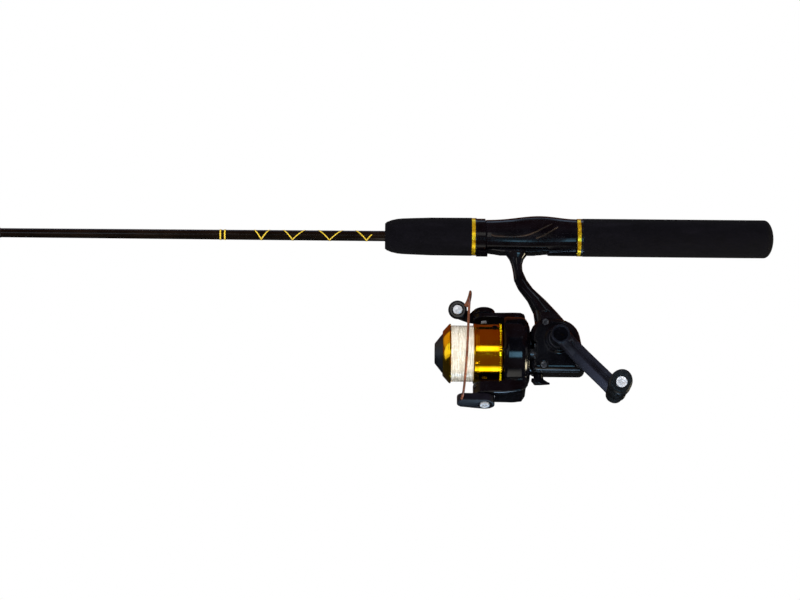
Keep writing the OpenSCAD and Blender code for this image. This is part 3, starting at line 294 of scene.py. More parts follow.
def steelFinish(name="brushedSteel", pale=None, grey=None, rough=0.24, shine=0.4):
    s, f = Shader(name), finish["steel"]
    place = s.place()
    scratches = s.noise(s.mapped(place, (300, 300, 5200)), 1.0, 4, 0.7)
    cloud = s.noise(place, 400, 3)
    tone = s.mix(cloud.step(0.3, 0.7), grey or f["grey"], pale or f["pale"])
    return s.surface(Base_Color=tone, Metallic=shine,
                     Roughness=scratches.step(0.3, 0.7, rough, rough + 0.18),
                     Normal=s.bump(scratches, 0.01 * mm, 0.6))


def threadFinish(name, colour, shade, rough, coat):
    s, f = Shader(name), finish["thread"]
    place = s.place()
    x = s.axes(place)[0]
    turns = (x * (math.pi * 1000 / f["pitch"])).sine().size()
    fuzz = s.noise(place, 3800, 3)
    # painted shade: the colour falls to the shade colour in the grooves between the turns
    tone = s.mix(turns * 0.7 + fuzz * 0.3, shade, colour)
    return s.surface(Base_Color=tone, Roughness=fuzz.step(0.3, 0.7, rough, rough + 0.2),
                     Normal=s.bump(turns, f["depth"] * mm, 0.9), Coat_Weight=coat,
                     Coat_Roughness=0.08)


def wireFinish():
    s, f = Shader("bailWireCopper"), finish["wire"]
    place = s.place()
    cloud = s.noise(place, 180, 5, 0.7)
    scratch = s.noise(s.mapped(place, (2400, 2400, 200)), 1.0, 3)
    tone = s.mix(cloud.step(0.35, 0.7), f["dull"], f["copper"])
    return s.surface(Base_Color=tone, Metallic=0.55, Roughness=scratch.step(0.3, 0.7, 0.22, 0.4),
                     Normal=s.bump(scratch, 0.008 * mm, 0.5))


def lineFinish(name="clearLine", clear=None, shade=None):
    s, f = Shader(name), finish["line"]
    place = s.place()
    cloud = s.noise(s.mapped(place, (900, 120, 120)), 1.0, 3)
    tone = s.mix(cloud.step(0.3, 0.7), shade or f["shade"], clear or f["clear"])
    return s.surface(Base_Color=tone, Roughness=cloud.step(0.2, 0.8, 0.2, 0.34), Coat_Weight=0.6,
                     Metallic=0.28, IOR=1.5,
                     Normal=s.bump(s.noise(place, 2600, 2), 0.006 * mm, 0.4),
                     Subsurface_Weight=0.2, Subsurface_Radius=(0.6, 0.55, 0.5),
                     Subsurface_Scale=0.6 * mm)


def blankFinish():
    s, f = Shader("blankGloss"), finish["blank"]
    place = s.place()
    x = s.axes(place)[0]
    ribs = (x * (2 * math.pi * 1000 / f["tape"])).sine()  # the tape's marks under the varnish
    weave = s.noise(s.mapped(place, (40, 900, 900)), 1.0, 4)
    cloud = s.noise(place, 60, 4)
    tone = s.mix(cloud.step(0.3, 0.7), f["dark"], f["light"])
    tone = s.mix(weave.step(0.55, 0.8) * 0.4, tone, f["fibre"])
    soft = f["bareSoft"] * mm  # the varnish ends short of the tip top
    bare = (x - f["bareFrom"] * mm).step(-soft, soft, 1.0, 0.0)
    tone = s.mix(bare * 0.75, tone, f["bare"])
    return s.surface(Base_Color=tone, Roughness=weave.step(0.3, 0.7, 0.2, 0.3), Coat_Weight=0.3,
                     Coat_Roughness=0.05, Normal=s.bump(ribs * 0.5 + weave * 0.5, 0.01 * mm, 0.5),
                     Specular_IOR_Level=0.1)


def rubberFinish():
    s = Shader("knobRubber")
    place = s.place()
    pits = s.cells(place, 1800)
    cloud = s.noise(place, 150, 4)
    tone = s.mix(cloud.step(0.3, 0.7), srgb(8, 10, 12), srgb(20, 24, 27))
    return s.surface(Base_Color=tone, Roughness=cloud.step(0.3, 0.7, 0.34, 0.5),
                     Normal=s.bump(pits, 0.02 * mm, 0.4), Specular_IOR_Level=0.16)


def satinFinish(name, dark, light, rough):
    s = Shader(name)
    place = s.place()
    grain = s.noise(place, 1500, 3)
    cloud = s.noise(place, 110, 4)
    tone = s.mix(cloud.step(0.3, 0.7), dark, light)
    return s.surface(Base_Color=tone, Roughness=grain.step(0.3, 0.7, rough, rough + 0.14),
                     Normal=s.bump(grain, 0.02 * mm, 0.5), Specular_IOR_Level=0.14)


looks = {
    "foam": foamFinish(),
    "blank": blankFinish(),
    "seat": glossFinish("seatMoulding", srgb(3, 2, 4), srgb(8, 7, 11), 0.2, 0.02, 0.16),
    # painted highlight: the ridges are coloured lighter than the seat moulding that they are part
    # of
    "ridge": glossFinish("seatRidge", srgb(24, 20, 18), srgb(50, 40, 33), 0.2, 0.01, 0.3),
    "body": glossFinish("reelPaint", srgb(3, 3, 5), srgb(8, 8, 12), 0.14, 0.02, 0.3),
    "cover": glossFinish("coverPaint", srgb(3, 3, 5), srgb(8, 9, 13), 0.15, 0.02, 0.3),
    "rotor": glossFinish("rotorPaint", srgb(2, 2, 4), srgb(6, 6, 10), 0.12, 0.02, 0.25),
    "crank": crankFinish(),
    "holder": satinFinish("bailHolderPaint", srgb(6, 6, 10), srgb(15, 14, 22), 0.3),
    "dragCap": satinFinish("dragKnobPlastic", srgb(9, 11, 15), srgb(20, 24, 31), 0.3),
    "knob": rubberFinish(),
    "satinBlack": satinFinish("satinBlack", srgb(12, 12, 15), srgb(26, 26, 31), 0.36),
    "gold": trimFinish(),
    "skirt": goldFinish("skirtGold", 0.06, srgb(248, 184, 4), srgb(254, 210, 24), 0.0015),
    "brass": goldFinish("gearBrass", 0.3, srgb(150, 110, 50), srgb(198, 160, 84), 0.004),
    "steel": steelFinish(),
    "screwSteel": steelFinish("coverScrewSteel", srgb(92, 94, 100), srgb(40, 42, 48), 0.2, 0.7),
    "darkSteel": steelFinish("darkSteel", srgb(120, 122, 128), srgb(84, 86, 92), 0.3),
    "wire": wireFinish(),
    "hardRing": glossFinish("guideCeramic", srgb(22, 22, 26), srgb(36, 36, 42), 0.12, 0.01, 0.3),
    "guideWire": glossFinish("guideBlack", srgb(9, 9, 11), srgb(20, 20, 23), 0.2, 0.01, 0.3),
    "wrap": threadFinish("wrapThread", srgb(13, 12, 15), srgb(6, 6, 8), 0.3, 0.3),
    "goldThread": threadFinish("metallicThread", srgb(226, 196, 48), srgb(140, 104, 12), 0.3, 0.6),
    "line": lineFinish(),
    "lineBed": lineFinish("lineBed", srgb(232, 224, 208), srgb(206, 196, 176)),
}
print("finishes made:", len(looks))


# the room: white all round, a pale floor, and cards, dark or bright, that only reflections see

room = {
    "backdrop": (1.0, 1.0, 1.0), "ambient": 0.45, "lampAim": (-0.12, 0, -0.04),
    "lamps": {  # name: place, size and power
        "keyLamp": ((-0.35, -1.35, -0.05), 0.7, 24.0), "topLamp": ((-0.2, -0.3, 1.3), 0.9, 4.0),
        "backLamp": ((-0.1, 1.2, 0.5), 0.9, 7.0),
    },
    "floor": {"height": -0.46, "half": 30.0, "glow": 0.25, "dark": (0.86, 0.86, 0.86),
              "light": (0.9, 0.9, 0.9)},
    "cardRadius": 1.3, "nearRadius": 0.3, "cardGap": 0.02, "cardCentre": -0.05, "cardStep": 3,
    "lowReach": (0.3, 0.39),  # the least and the most that a low card lies below, over the floor
    "dim": 0.02,  # what a soft card fades to
    # name: from and to in degrees above the front, from and to along the rod in metres, colour and
    # strength, and for a soft card the width of its fading in metres and in degrees
    "cards": {
        "frontDark": (-60, -7, -3.5, 3.5, (1.0, 0.5, 0.12), 0.12),
        "frontDim": (-7, 18, -3.5, 3.5, (1, 1, 1), 0.02),
        "frontWindow": (-8, 19, -0.185, -0.054, (1.0, 0.97, 0.9), 3.6, 0.01, 10),
        "topWarm": (17, 168, -3.5, 3.5, (1.0, 0.26, 0.08), 0.13),
        "underWindow": (-104, -57, -0.2, -0.054, (1.0, 0.97, 0.88), 2.4, 0.01, 16),
        "rotorGlint": (-100, -60, 0.3, 1.3, (1.0, 0.88, 0.6), 36.0, 0.1, 10),
        "lipGlow": (8, 152, -3.3, -1.1, (1.0, 0.62, 0.12), 0.6, 0.2, 15),
        "underDim": (-101, -60, -3.5, 3.5, (1, 1, 1), 0.02),
        "underDark": (-192, -101, -3.5, 3.5, (1, 1, 1), 0.02),
        "blueStrip": (94, 110, -1.2, 0.9, (0.55, 0.72, 1.0), 2.2, 0.3, 5),
        "sideSheen": (-19, 4, -1.05, -0.36, (0.72, 0.82, 1.0), 1.4, 0.15, 7),
        "lowStrip": (-118, -102, -0.13, -0.025, (0.45, 0.7, 1.0), 16.0, 0.03, 4),
        "caseStrip": (32, 43, 0.03, 0.2, (0.75, 0.86, 1.0), 2.8, 0.06, 3),
    },
    "nearCards": {
        "seatFlag": (-8, 34, -0.098, -0.03, (1, 1, 1), 0.02),
        "seatBlue": (-29, -8, -0.085, -0.036, (0.26, 0.58, 0.82), 14.0, 0.014, 6),
    },
}


def lightRoom(r):
    world = bpy.data.worlds.new("studio")
    bpy.context.scene.world = world
    world.use_nodes = True
    tree = world.node_tree
    background = tree.nodes["Background"]
    path = tree.nodes.new("ShaderNodeLightPath")
    seen = path.outputs["Is Camera Ray"]
    for ray in ("Is Glossy Ray", "Is Transmission Ray"):
        either = tree.nodes.new("ShaderNodeMath")
        either.operation = "MAXIMUM"
        tree.links.new(seen, either.inputs[0])
        tree.links.new(path.outputs[ray], either.inputs[1])
        seen = either.outputs[0]
    level = tree.nodes.new("ShaderNodeMapRange")
    tree.links.new(seen, level.inputs[0])
    level.inputs[3].default_value = r["ambient"]
    level.inputs[4].default_value = 1.0
    tree.links.new(level.outputs[0], background.inputs["Strength"])
    background.inputs["Color"].default_value = r["backdrop"] + (1,)
    for name, (place, size, power) in r["lamps"].items():
        lamp = bpy.data.objects.new(name, bpy.data.lights.new(name, "AREA"))
        lamp.data.energy, lamp.data.size = power, size
        lamp.location = place
        ahead = Vector(r["lampAim"]) - Vector(place)
        lamp.rotation_euler = ahead.to_track_quat("-Z", "Y").to_euler()
        lamp.visible_glossy = False  # highlights come from the cards
        bpy.context.collection.objects.link(lamp)


def glow(name, card, r):
    # light that fades towards the edges of a soft card
    low, high, left, right, colour, strength, softAlong, softAngle = (card + (0, 0))[:8]
    s = Shader(name)
    x, y, z = s.axes(s.place())
    shade = tuple(c * strength for c in colour)
    if softAlong:
        fade = x.step(left, left + softAlong) * (1 - x.step(right - softAlong, right))
        angle = x.maths("ARCTAN2", z - r["cardCentre"], 0 - y) * (180 / math.pi)
        fade = fade * angle.step(low, low + softAngle) * (1 - angle.step(high - softAngle, high))
        shade = s.mix(fade, (r["dim"],) * 3, shade)
    return s.surface(Base_Color=(0, 0, 0), Specular_IOR_Level=0.0, Emission_Strength=1.0,
                     Emission_Color=shade)


def bentCard(name, card, radius, deepest, r):
    # part of a tube about the rod's line, pressed flat where it would go below the deepest height
    low, high, left, right = card[:4]
    steps = max(2, int((high - low) / r["cardStep"]))
    points, faces = [], []
    for i in range(steps + 1):
        a = math.radians(low + (high - low) * i / steps)
        reach = min(radius, deepest / max(0.05, -math.sin(a)))
        for x in (left, right):
            points.append((x, -reach * math.cos(a), reach * math.sin(a) + r["cardCentre"]))
        if i:
            faces.append((2 * i - 2, 2 * i - 1, 2 * i + 1, 2 * i))
    piece = newMesh(name, points, faces)
    piece.data.materials.append(glow(name, card, r))
    piece.visible_camera = piece.visible_diffuse = piece.visible_shadow = False
    piece.visible_transmission = piece.visible_volume_scatter = False


def layFloor(f):
    half, z = f["half"], f["height"]
    corners = [(-half, -half, z), (half, -half, z), (half, half, z), (-half, half, z)]
    floor = newMesh("floor", corners, [(0, 1, 2, 3)])
    s = Shader("paleFloor")
    tone = s.mix(s.noise(s.place(), 8, 4).step(0.3, 0.7), f["dark"], f["light"])
    floor.data.materials.append(s.surface(Base_Color=tone, Roughness=0.8, Emission_Color=tone,
                                          Emission_Strength=f["glow"]))


def setRoom(r):
    lightRoom(r)
    for i, (name, card) in enumerate(r["cards"].items()):
        inwards = r["cardGap"] * i if len(card) > 6 else 0  # soft cards stand before the others
        deepest = max(r["lowReach"][0], r["lowReach"][1] - inwards)
        bentCard(name, card, r["cardRadius"] - inwards, deepest, r)
    for name, card in r["nearCards"].items():
        bentCard(name, card, r["nearRadius"], r["lowReach"][0], r)
    layFloor(r["floor"])


setRoom(room)
print("room lit")


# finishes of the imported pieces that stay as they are; all others are steel

nodeLooks = {
    "satinBlack": ["stroke_gear", "shaft_slider"], "wrap": ["guide_wraps"],
    "goldThread": ["trim_wraps"], "brass": ["main_gear", "rotor_nut"],
    "darkSteel": ["lock_nut", "stop_pawl"],
    "screwSteel": ["ratchet", "bearing_outer", "bearing_inner", "pinion_gear"],
}
lookOf = {name: look for look, names in nodeLooks.items() for name in names}
for name, piece in nodes.items():
    piece.data.materials.clear()
    piece.data.materials.append(looks[lookOf.get(name, "steel")])
print("finishes set")


# helpers for made pieces

def box(name):
    low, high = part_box(name)
    return Vector(low), Vector(high)


def middle(name):
    low, high = box(name)
    return (low + high) / 2


def settled(source, name):
    # the finished shape of an object as a plain mesh of its own
    graph = bpy.context.evaluated_depsgraph_get()
    mesh = bpy.data.meshes.new_from_object(source.evaluated_get(graph))
    piece = bpy.data.objects.new(name, mesh)
    bpy.context.collection.objects.link(piece)
    bpy.data.objects.remove(source)
    piece.name = name
    return piece


def fromBmesh(bm, name):
    piece = newMesh(name, [], [])
    bm.to_mesh(piece.data)
    bm.free()
    return piece


def smoothed(piece, angle):
    # shaded smooth, but for edges sharper than the angle
    piece.data.shade_smooth()
    piece.data.set_sharp_from_angle(angle=math.radians(angle))
    return piece


copying = {"weld": 0.002, "flat": 0.6, "factor": 0.5}


def draft(nodeName, name, c):
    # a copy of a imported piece, with its skin joined up and its flats in one piece
    bm = bmesh.new()
    bm.from_mesh(nodes[nodeName].data)
    bmesh.ops.remove_doubles(bm, verts=bm.verts, dist=c["weld"] * mm)
    flat = math.radians(c["flat"])
    bmesh.ops.dissolve_limit(bm, angle_limit=flat, verts=bm.verts, edges=bm.edges)
    return fromBmesh(bm, name + "Draft")


def easedCopy(nodeName, name, voxel, rounds):
    source = draft(nodeName, name, copying)
    remesh = source.modifiers.new("remesh", "REMESH")
    remesh.mode, remesh.voxel_size = "VOXEL", voxel * mm
    smooth = source.modifiers.new("smooth", "SMOOTH")
    smooth.factor, smooth.iterations = copying["factor"], rounds
    piece = settled(source, name)
    piece.data.shade_smooth()
    return piece


def joined(bm, rings, sides):
    # faces between each ring of vertices and the next; a ring of one vertex is a point
    for a, b in zip(rings, rings[1:]):
        for k in range(sides):
            corners = [a[k % len(a)], a[(k + 1) % len(a)], b[(k + 1) % len(b)], b[k % len(b)]]
            corners = [c for i, c in enumerate(corners) if c not in corners[:i]]
            if len(corners) > 2:
                bm.faces.new(corners)


def lathe(name, profile, y, z, sides, angle=30):
    # a closed profile of (x, radius) turned about a line along X
    bm = bmesh.new()
    rings = []
    for x, radius in profile:
        turns = [2 * math.pi * k / sides for k in range(sides if radius > 1e-7 else 1)]
        rings.append([bm.verts.new((x, y + radius * math.cos(a), z + radius * math.sin(a)))
                      for a in turns])
    joined(bm, rings, sides)
    bmesh.ops.remove_doubles(bm, verts=bm.verts, dist=1e-7)
    bmesh.ops.recalc_face_normals(bm, faces=bm.faces)
    return smoothed(fromBmesh(bm, name), angle)


def dress(piece, look, body, slotName, *replaced):
    piece.data.materials.clear()
    piece.data.materials.append(looks[look])
    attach(piece, body)
    if replaced:
        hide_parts(*replaced)
    return piece


class Tree:
    # a Geometry Nodes tree with named inputs; node() links or sets by socket name or number
    def __init__(self, name, inputs):
        self.group = bpy.data.node_groups.new(name, "GeometryNodeTree")
        sockets = self.group.interface
        for way in ("INPUT", "OUTPUT"):
            sockets.new_socket("Geometry", in_out=way, socket_type="NodeSocketGeometry")
        self.ids = {}
        for key, value in inputs.items():
            kind = "NodeSocketMaterial" if key == "Material" else (
                "NodeSocketInt" if isinstance(value, int) else "NodeSocketFloat")
            self.ids[key] = sockets.new_socket(key, in_out="INPUT", socket_type=kind).identifier
        self.inlet = self.group.nodes.new("NodeGroupInput")
        self.outlet = self.group.nodes.new("NodeGroupOutput")
        self.inputs = inputs

    def given(self, key):
        return self.inlet.outputs[key]

    def node(self, kind, settings, inputs, out=0):
        new = self.group.nodes.new(kind)
        for key, setting in settings.items():
            setattr(new, key, setting)
        for key, value in inputs.items():
            if isinstance(value, bpy.types.NodeSocket):
                self.group.links.new(value, new.inputs[key])
            else:
                new.inputs[key].default_value = value
        return new.outputs[out]

    def maths(self, operation, *values):
        return self.node("ShaderNodeMath", {"operation": operation}, dict(enumerate(values)))

    def xyz(self, x, y, z):
        return self.node("ShaderNodeCombineXYZ", {}, {0: x, 1: y, 2: z})

    def attribute(self, name):
        return self.node("GeometryNodeInputNamedAttribute", {"data_type": "FLOAT"}, {"Name": name})

    def finished(self, geometry):
        whole = self.node("GeometryNodeRealizeInstances", {}, {0: geometry})
        painted = self.node("GeometryNodeSetMaterial", {}, {
            "Geometry": whole, "Material": self.given("Material")})
        self.group.links.new(painted, self.outlet.inputs[0])

    def make(self, base, name, smooth=True):
        modifier = base.modifiers.new(name, "NODES")
        modifier.node_group = self.group
        for key, value in self.inputs.items():
            modifier[self.ids[key]] = value
        piece = settled(base, name)
        if smooth:
            piece.data.shade_smooth()
        return piece


# line on the spool: a close layer, and a few open turns that cross over it

wound = {
    "closeTurns": 66, "openTurns": 5, "pointsPerTurn": 44, "strand": 0.2, "sides": 6,
    "bedSides": 96,
    # in strands: the depth below the winding, the gap to each lip and the lift of the open turns
    "below": 1.5, "inset": 0.8, "rise": 0.9,
}


def woundLine(w):
    coreLow, coreHigh = box("line_core")
    outLow, outHigh = box("line_winding")
    axis, strand = (coreLow.z + coreHigh.z) / 2, w["strand"] * mm
    radius = (outHigh.z - outLow.z) / 2 - strand * w["below"]
    t = Tree("woundLine", {
        "Close Turns": w["closeTurns"], "Open Turns": w["openTurns"], "Radius": radius,
        "Width": coreHigh.x - coreLow.x - strand * w["inset"] * 2, "Strand": strand,
        "Sides": w["sides"], "Material": looks["line"]})
    closeTurns, openTurns = t.given("Close Turns"), t.given("Open Turns")
    count = t.maths("MULTIPLY", t.maths("ADD", closeTurns, openTurns), w["pointsPerTurn"])
    row = t.node("GeometryNodeMeshLine", {}, {"Count": count})
    turn = t.maths("DIVIDE", t.node("GeometryNodeInputIndex", {}, {}), w["pointsPerTurn"])
    angle = t.maths("MULTIPLY", turn, 2 * math.pi)
    close = t.maths("DIVIDE", t.maths("MINIMUM", turn, closeTurns), closeTurns)
    past = t.maths("MAXIMUM", t.maths("SUBTRACT", turn, closeTurns), 0.0)
    back = t.maths("DIVIDE", past, openTurns)
    x = t.maths("MULTIPLY", t.maths("SUBTRACT", close, back), t.given("Width"))
    lift = t.maths("MULTIPLY", t.given("Strand"), w["rise"])
    r = t.maths("ADD", t.given("Radius"), t.maths("MULTIPLY", t.maths("MINIMUM", past, 1.0), lift))
    place = t.xyz(t.maths("ADD", x, coreLow.x + strand * w["inset"]),
                  t.maths("MULTIPLY", r, t.maths("COSINE", angle)),
                  t.maths("ADD", t.maths("MULTIPLY", r, t.maths("SINE", angle)), axis))
    moved = t.node("GeometryNodeSetPosition", {}, {"Geometry": row, "Position": place})
    curve = t.node("GeometryNodeMeshToCurve", {}, {0: moved})
    ring = t.node("GeometryNodeCurvePrimitiveCircle", {}, {
        "Resolution": t.given("Sides"), "Radius": t.maths("MULTIPLY", t.given("Strand"), 0.5)})
    t.finished(t.node("GeometryNodeCurveToMesh", {}, {
        "Curve": curve, "Profile Curve": ring, "Fill Caps": True}))
    piece = t.make(newMesh("woundLineBase", [(0, 0, 0)], []), "woundLine")
    dress(piece, "line", "spool", "line_clear", "line_winding")
    profile = [(coreLow.x, 0.0), (coreLow.x, radius), (coreHigh.x, radius), (coreHigh.x, 0.0)]
    bed = lathe("lineBed", profile, 0, axis, w["bedSides"])
    dress(bed, "lineBed", "spool", "line_clear", "line_core")


woundLine(wound)
print("line wound on the spool")


# cast and moulded pieces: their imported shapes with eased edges

spoolAxis = -75.5  # the height of the line that the spool and rotor turn about, in mm
castKeys = ("of", "voxel", "rounds", "look", "body", "slot")  # the voxel's size is in mm
cast = {
    "reelBody": ("reel_body", 0.4, 6, "body", "rod", "reel_black"),
    "reelCover": ("side_cover", 0.36, 5, "cover", "rod", "reel_black"),
    "rotorCup": ("rotor", 0.42, 5, "rotor", "rotor", "rotor_black"),
    "dragCap": ("drag_knob", 0.24, 4, "dragCap", "drag", "drag_grey"),
    "bailArm": ("bail_arm", 0.3, 5, "rotor", "bail", "rotor_black"),
    "bailHolder": ("bail_holder", 0.3, 5, "holder", "bail", "rotor_black"),
    "bailWire": ("bail_wire", 0.2, 5, "wire", "bail", "bail_bronze"),
    "rollerCap": ("roller_cap", 0.2, 3, "rotor", "bail", "rotor_black"),
    "crankArm": ("handle_arm", 0.36, 5, "crank", "drive", "reel_black"),
    "crankKnob": ("handle_knob", 0.36, 8, "knob", "knob", "knob_black"),
    "stopLever": ("stop_lever", 0.22, 4, "body", "stop", "reel_black"),
    "seatMoulding": ("seat_body", 0.45, 5, "seat", "rod", "seat_black"),
}
rotorWalls = {
    "walls": [  # x, radius, x, radius in mm
        (-110.2, 22.4, -109, 23.2), (-109, 23.2, -107.8, 23.45), (-107.8, 23.45, -99.2, 23.15),
        (-99.2, 23.15, -97.6, 22.6), (-97.6, 22.6, -96.2, 21.6), (-96.2, 21.6, -95, 19.8),
        (-95, 19.8, -94, 17.2), (-110.2, 19.8, -105.5, 19.8), (-129.9, 16.2, -105.5, 16.2),
    ],
    "reach": 0.8, "margin": 0.2, "facing": 0.3,
}


def trueRound(piece, w, axis):
    # brings the flats of turned walls out to the true circle
    mesh = piece.data
    normals = [v.normal.copy() for v in mesh.vertices]
    moved = 0
    for vertex, normal in zip(mesh.vertices, normals):
        x, y, up = vertex.co.x / mm, vertex.co.y / mm, vertex.co.z / mm - axis
        radius = math.hypot(y, up)
        if radius < 1 or abs(normal.y * up - normal.z * y) / radius > w["facing"]:
            continue
        for x0, r0, x1, r1 in w["walls"]:
            if x0 - w["margin"] <= x <= x1 + w["margin"]:
                true = r0 + (r1 - r0) * min(1, max(0, (x - x0) / (x1 - x0)))
                if abs(radius - true) < w["reach"]:
                    vertex.co.y = y / radius * true * mm
                    vertex.co.z = (up / radius * true + axis) * mm
                    moved += 1
                    break
    mesh.update()
    print("rounded", moved, "of", len(mesh.vertices))


crankGroove = {
    "hub": (-76, -68.5), "length": 50.6, "angle": 48, "across": 1.0, "half": 1.3, "deep": 1.0,
    "from": 0.15, "to": 0.9, "fade": 0.06, "floor": 0.3, "facing": -0.3,
}


def smoothStep(value, low, high):
    t = min(1, max(0, (value - low) / (high - low)))
    return t * t * (3 - 2 * t)


def grooved(piece, g):
    # the long hollow in the crank arm's outer face
    turn = math.radians(g["angle"])
    for vertex in piece.data.vertices:
        dx, dz = vertex.co.x / mm - g["hub"][0], vertex.co.z / mm - g["hub"][1]
        along = (dx * math.cos(turn) - dz * math.sin(turn)) / g["length"]
        across = dx * math.sin(turn) + dz * math.cos(turn)
        if vertex.normal.y < g["facing"]:
            ends = smoothStep(along, g["from"], g["from"] + g["fade"])
            ends *= 1 - smoothStep(along, g["to"], g["to"] + g["fade"])
            bell = 1 - smoothStep(abs(across - g["across"]), g["half"] * g["floor"], g["half"])
            vertex.co.y += g["deep"] * mm * ends * bell


knobBore = {"pin": "knob_spindle", "radius": 1.9, "reach": 0.6}


def trueBore(piece, b):
    # brings the wall of the hole along Y back to the true circle about its pin
    centre, radius = middle(b["pin"]), b["radius"] * mm
    for vertex in piece.data.vertices:
        dx, dz = vertex.co.x - centre.x, vertex.co.z - centre.z
        far = math.hypot(dx, dz)
        if 0 < far < radius + b["reach"] * mm:
            vertex.co.x, vertex.co.z = centre.x + dx / far * radius, centre.z + dz / far * radius


leverForm = {
    "post": -88.3, "plate": 3.4, "level": 3.3, "thin": 0.72, "tail": (1.0, 7.0), "lift": 0.6,
    "nose": (2.0, 4.4),
}


def leverTaper(piece, f):
    # the stop lever's plate thins towards its tail, and its nose lifts
    low = box("stop_lever")[0]
    level = f["level"] * mm
    for vertex in piece.data.vertices:
        x, up = vertex.co.x / mm - f["post"], vertex.co.z - low.z
        if up < f["plate"] * mm:
            up *= 1 - f["thin"] * smoothStep(x, *f["tail"])
            up = level + (up - level) * (1 - f["lift"] * smoothStep(-x, *f["nose"]))
            vertex.co.z = low.z + up


reshaping = {
    "rotorCup": lambda piece: trueRound(piece, rotorWalls, spoolAxis),
    "crankKnob": lambda piece: trueBore(piece, knobBore),
    "crankArm": lambda piece: grooved(piece, crankGroove),
    "stopLever": lambda piece: leverTaper(piece, leverForm),
}


def castPiece(name, c):
    piece = easedCopy(c["of"], name, c["voxel"], c["rounds"])
    if name in reshaping:
        reshaping[name](piece)
    dress(piece, c["look"], c["body"], c["slot"], c["of"])


for name, row in cast.items():
    castPiece(name, dict(zip(castKeys, row)))
print("cast pieces eased")


# the spool, turned and polished, with fine lines on its skirt and a knurled rear rim

spool = {  # places along the rod and radii, in mm; boreFront, pocketFloor and the walls are lengths
    "lipFront": -147.9, "lipBack": -142.8, "skirtFront": -128.9, "skirtBack": -110.7, "skirt": 19.0,
    "lip": 18.55, "arbor": 9.0, "seat": 13.7, "bore": 3.4, "boreFront": 4.6, "hub": 5.4,
    "hubBack": -117.6, "pocket": 10.4, "pocketFloor": 2.3, "wall": 1.2, "frontWall": 1.5,
    "seatWall": 0.8,
    "lines": (1.5, 2.3, 3.1), "lineHalf": 0.12, "lineDeep": 0.07, "sides": 160, "sharp": 28,
    "rim": {"count": 84, "long": 1.5, "wide": 0.62, "high": 0.3, "from": -112.45, "radius": 18.98},
}


def spoolProfile(s):
    face, lip, lipBack, seat = s["lipFront"], s["lip"], s["lipBack"], s["seat"]
    front, back, outer = s["skirtFront"], s["skirtBack"], s["skirt"]
    inner, web = outer - s["wall"], front + s["frontWall"]
    pocketFloor, boreFront = face + s["pocketFloor"], face + s["boreFront"]
    seatFloor = seat - s["seatWall"]
    profile = [
        (face, seat), (face + 0.12, seat + 0.35), (lipBack - 1.3, lip - 0.45),
        (lipBack - 0.9, lip - 0.08), (lipBack - 0.5, lip), (lipBack - 0.1, lip - 0.12),
        (lipBack, lip - 0.4), (lipBack, s["arbor"]), (front, s["arbor"]),
        (front, outer - 0.6), (front + 0.15, outer - 0.2), (front + 0.55, outer),
    ]
    for place in s["lines"]:
        profile += [(front + place - s["lineHalf"], outer), (front + place, outer - s["lineDeep"]),
                    (front + place + s["lineHalf"], outer)]
    profile += [
        (back - 2.9, outer), (back - 2.8, outer - 0.25), (back - 2.6, outer - 0.25),
        (back - 2.5, outer), (back - 0.6, outer), (back - 0.15, outer - 0.2), (back, outer - 0.5),
        (back, inner), (web, inner), (web, s["hub"]), (s["hubBack"], s["hub"]),
        (s["hubBack"], s["bore"]), (boreFront, s["bore"]), (boreFront, s["pocket"]),
        (pocketFloor, s["pocket"]), (pocketFloor, seatFloor), (face, seatFloor),
    ]
    return profile + profile[:1]


def ribsRound(name, r, z, look):
    # small ribs in a ring about the spool's axis
    t = Tree(name, {
        "Count": r["count"], "Radius": r["radius"] * mm, "Long": r["long"] * mm,
        "Wide": r["wide"] * mm, "High": r["high"] * mm, "Place": r["from"] * mm,
        "Material": looks[look]})
    size = t.xyz(t.given("Long"), t.given("Wide"), t.given("High"))
    rib = t.node("GeometryNodeMeshCube", {}, {"Size": size})
    rib = t.node("GeometryNodeTransform", {}, {
        "Geometry": rib, "Translation": t.xyz(t.given("Place"), 0.0, t.given("Radius"))})
    row = t.node("GeometryNodeMeshLine", {}, {
        "Count": t.given("Count"), "Start Location": (0, 0, z * mm), "Offset": (0, 0, 0)})
    share = t.maths("DIVIDE", t.node("GeometryNodeInputIndex", {}, {}), t.given("Count"))
    turn = t.xyz(t.maths("MULTIPLY", share, 2 * math.pi), 0.0, 0.0)
    t.finished(t.node("GeometryNodeInstanceOnPoints", {}, {
        "Points": row, "Instance": rib, "Rotation": turn}))
    return t.make(newMesh(name + "Base", [(0, 0, 0)], []), name, smooth=False)


def goldSpool(s):
    profile = [(x * mm, radius * mm) for x, radius in spoolProfile(s)]
    turned = lathe("goldSpool", profile, 0, spoolAxis * mm, s["sides"], s["sharp"])
    dress(turned, "skirt", "spool", "spool_gold", "spool")
    dress(ribsRound("rimKnurl", s["rim"], spoolAxis, "skirt"), "skirt", "spool", "spool_gold")


goldSpool(spool)
print("spool turned")


# the bright screw in the roller cap's face, with a cross slot

capScrew = {
    "radius": 2.9, "high": 0.55, "slotWide": 0.55, "slotLong": 3.6, "slotDeep": 0.35, "sides": 40,
    "crown": 1.02, "sharp": 30, "sunk": 0.05, "recess": 0.1,
    # shares of radius and height
    "profile": [(0, 0), (1, 0), (1, 0.45), (0.86, 0.85), (0.5, 1), (0, 1.02)],
}


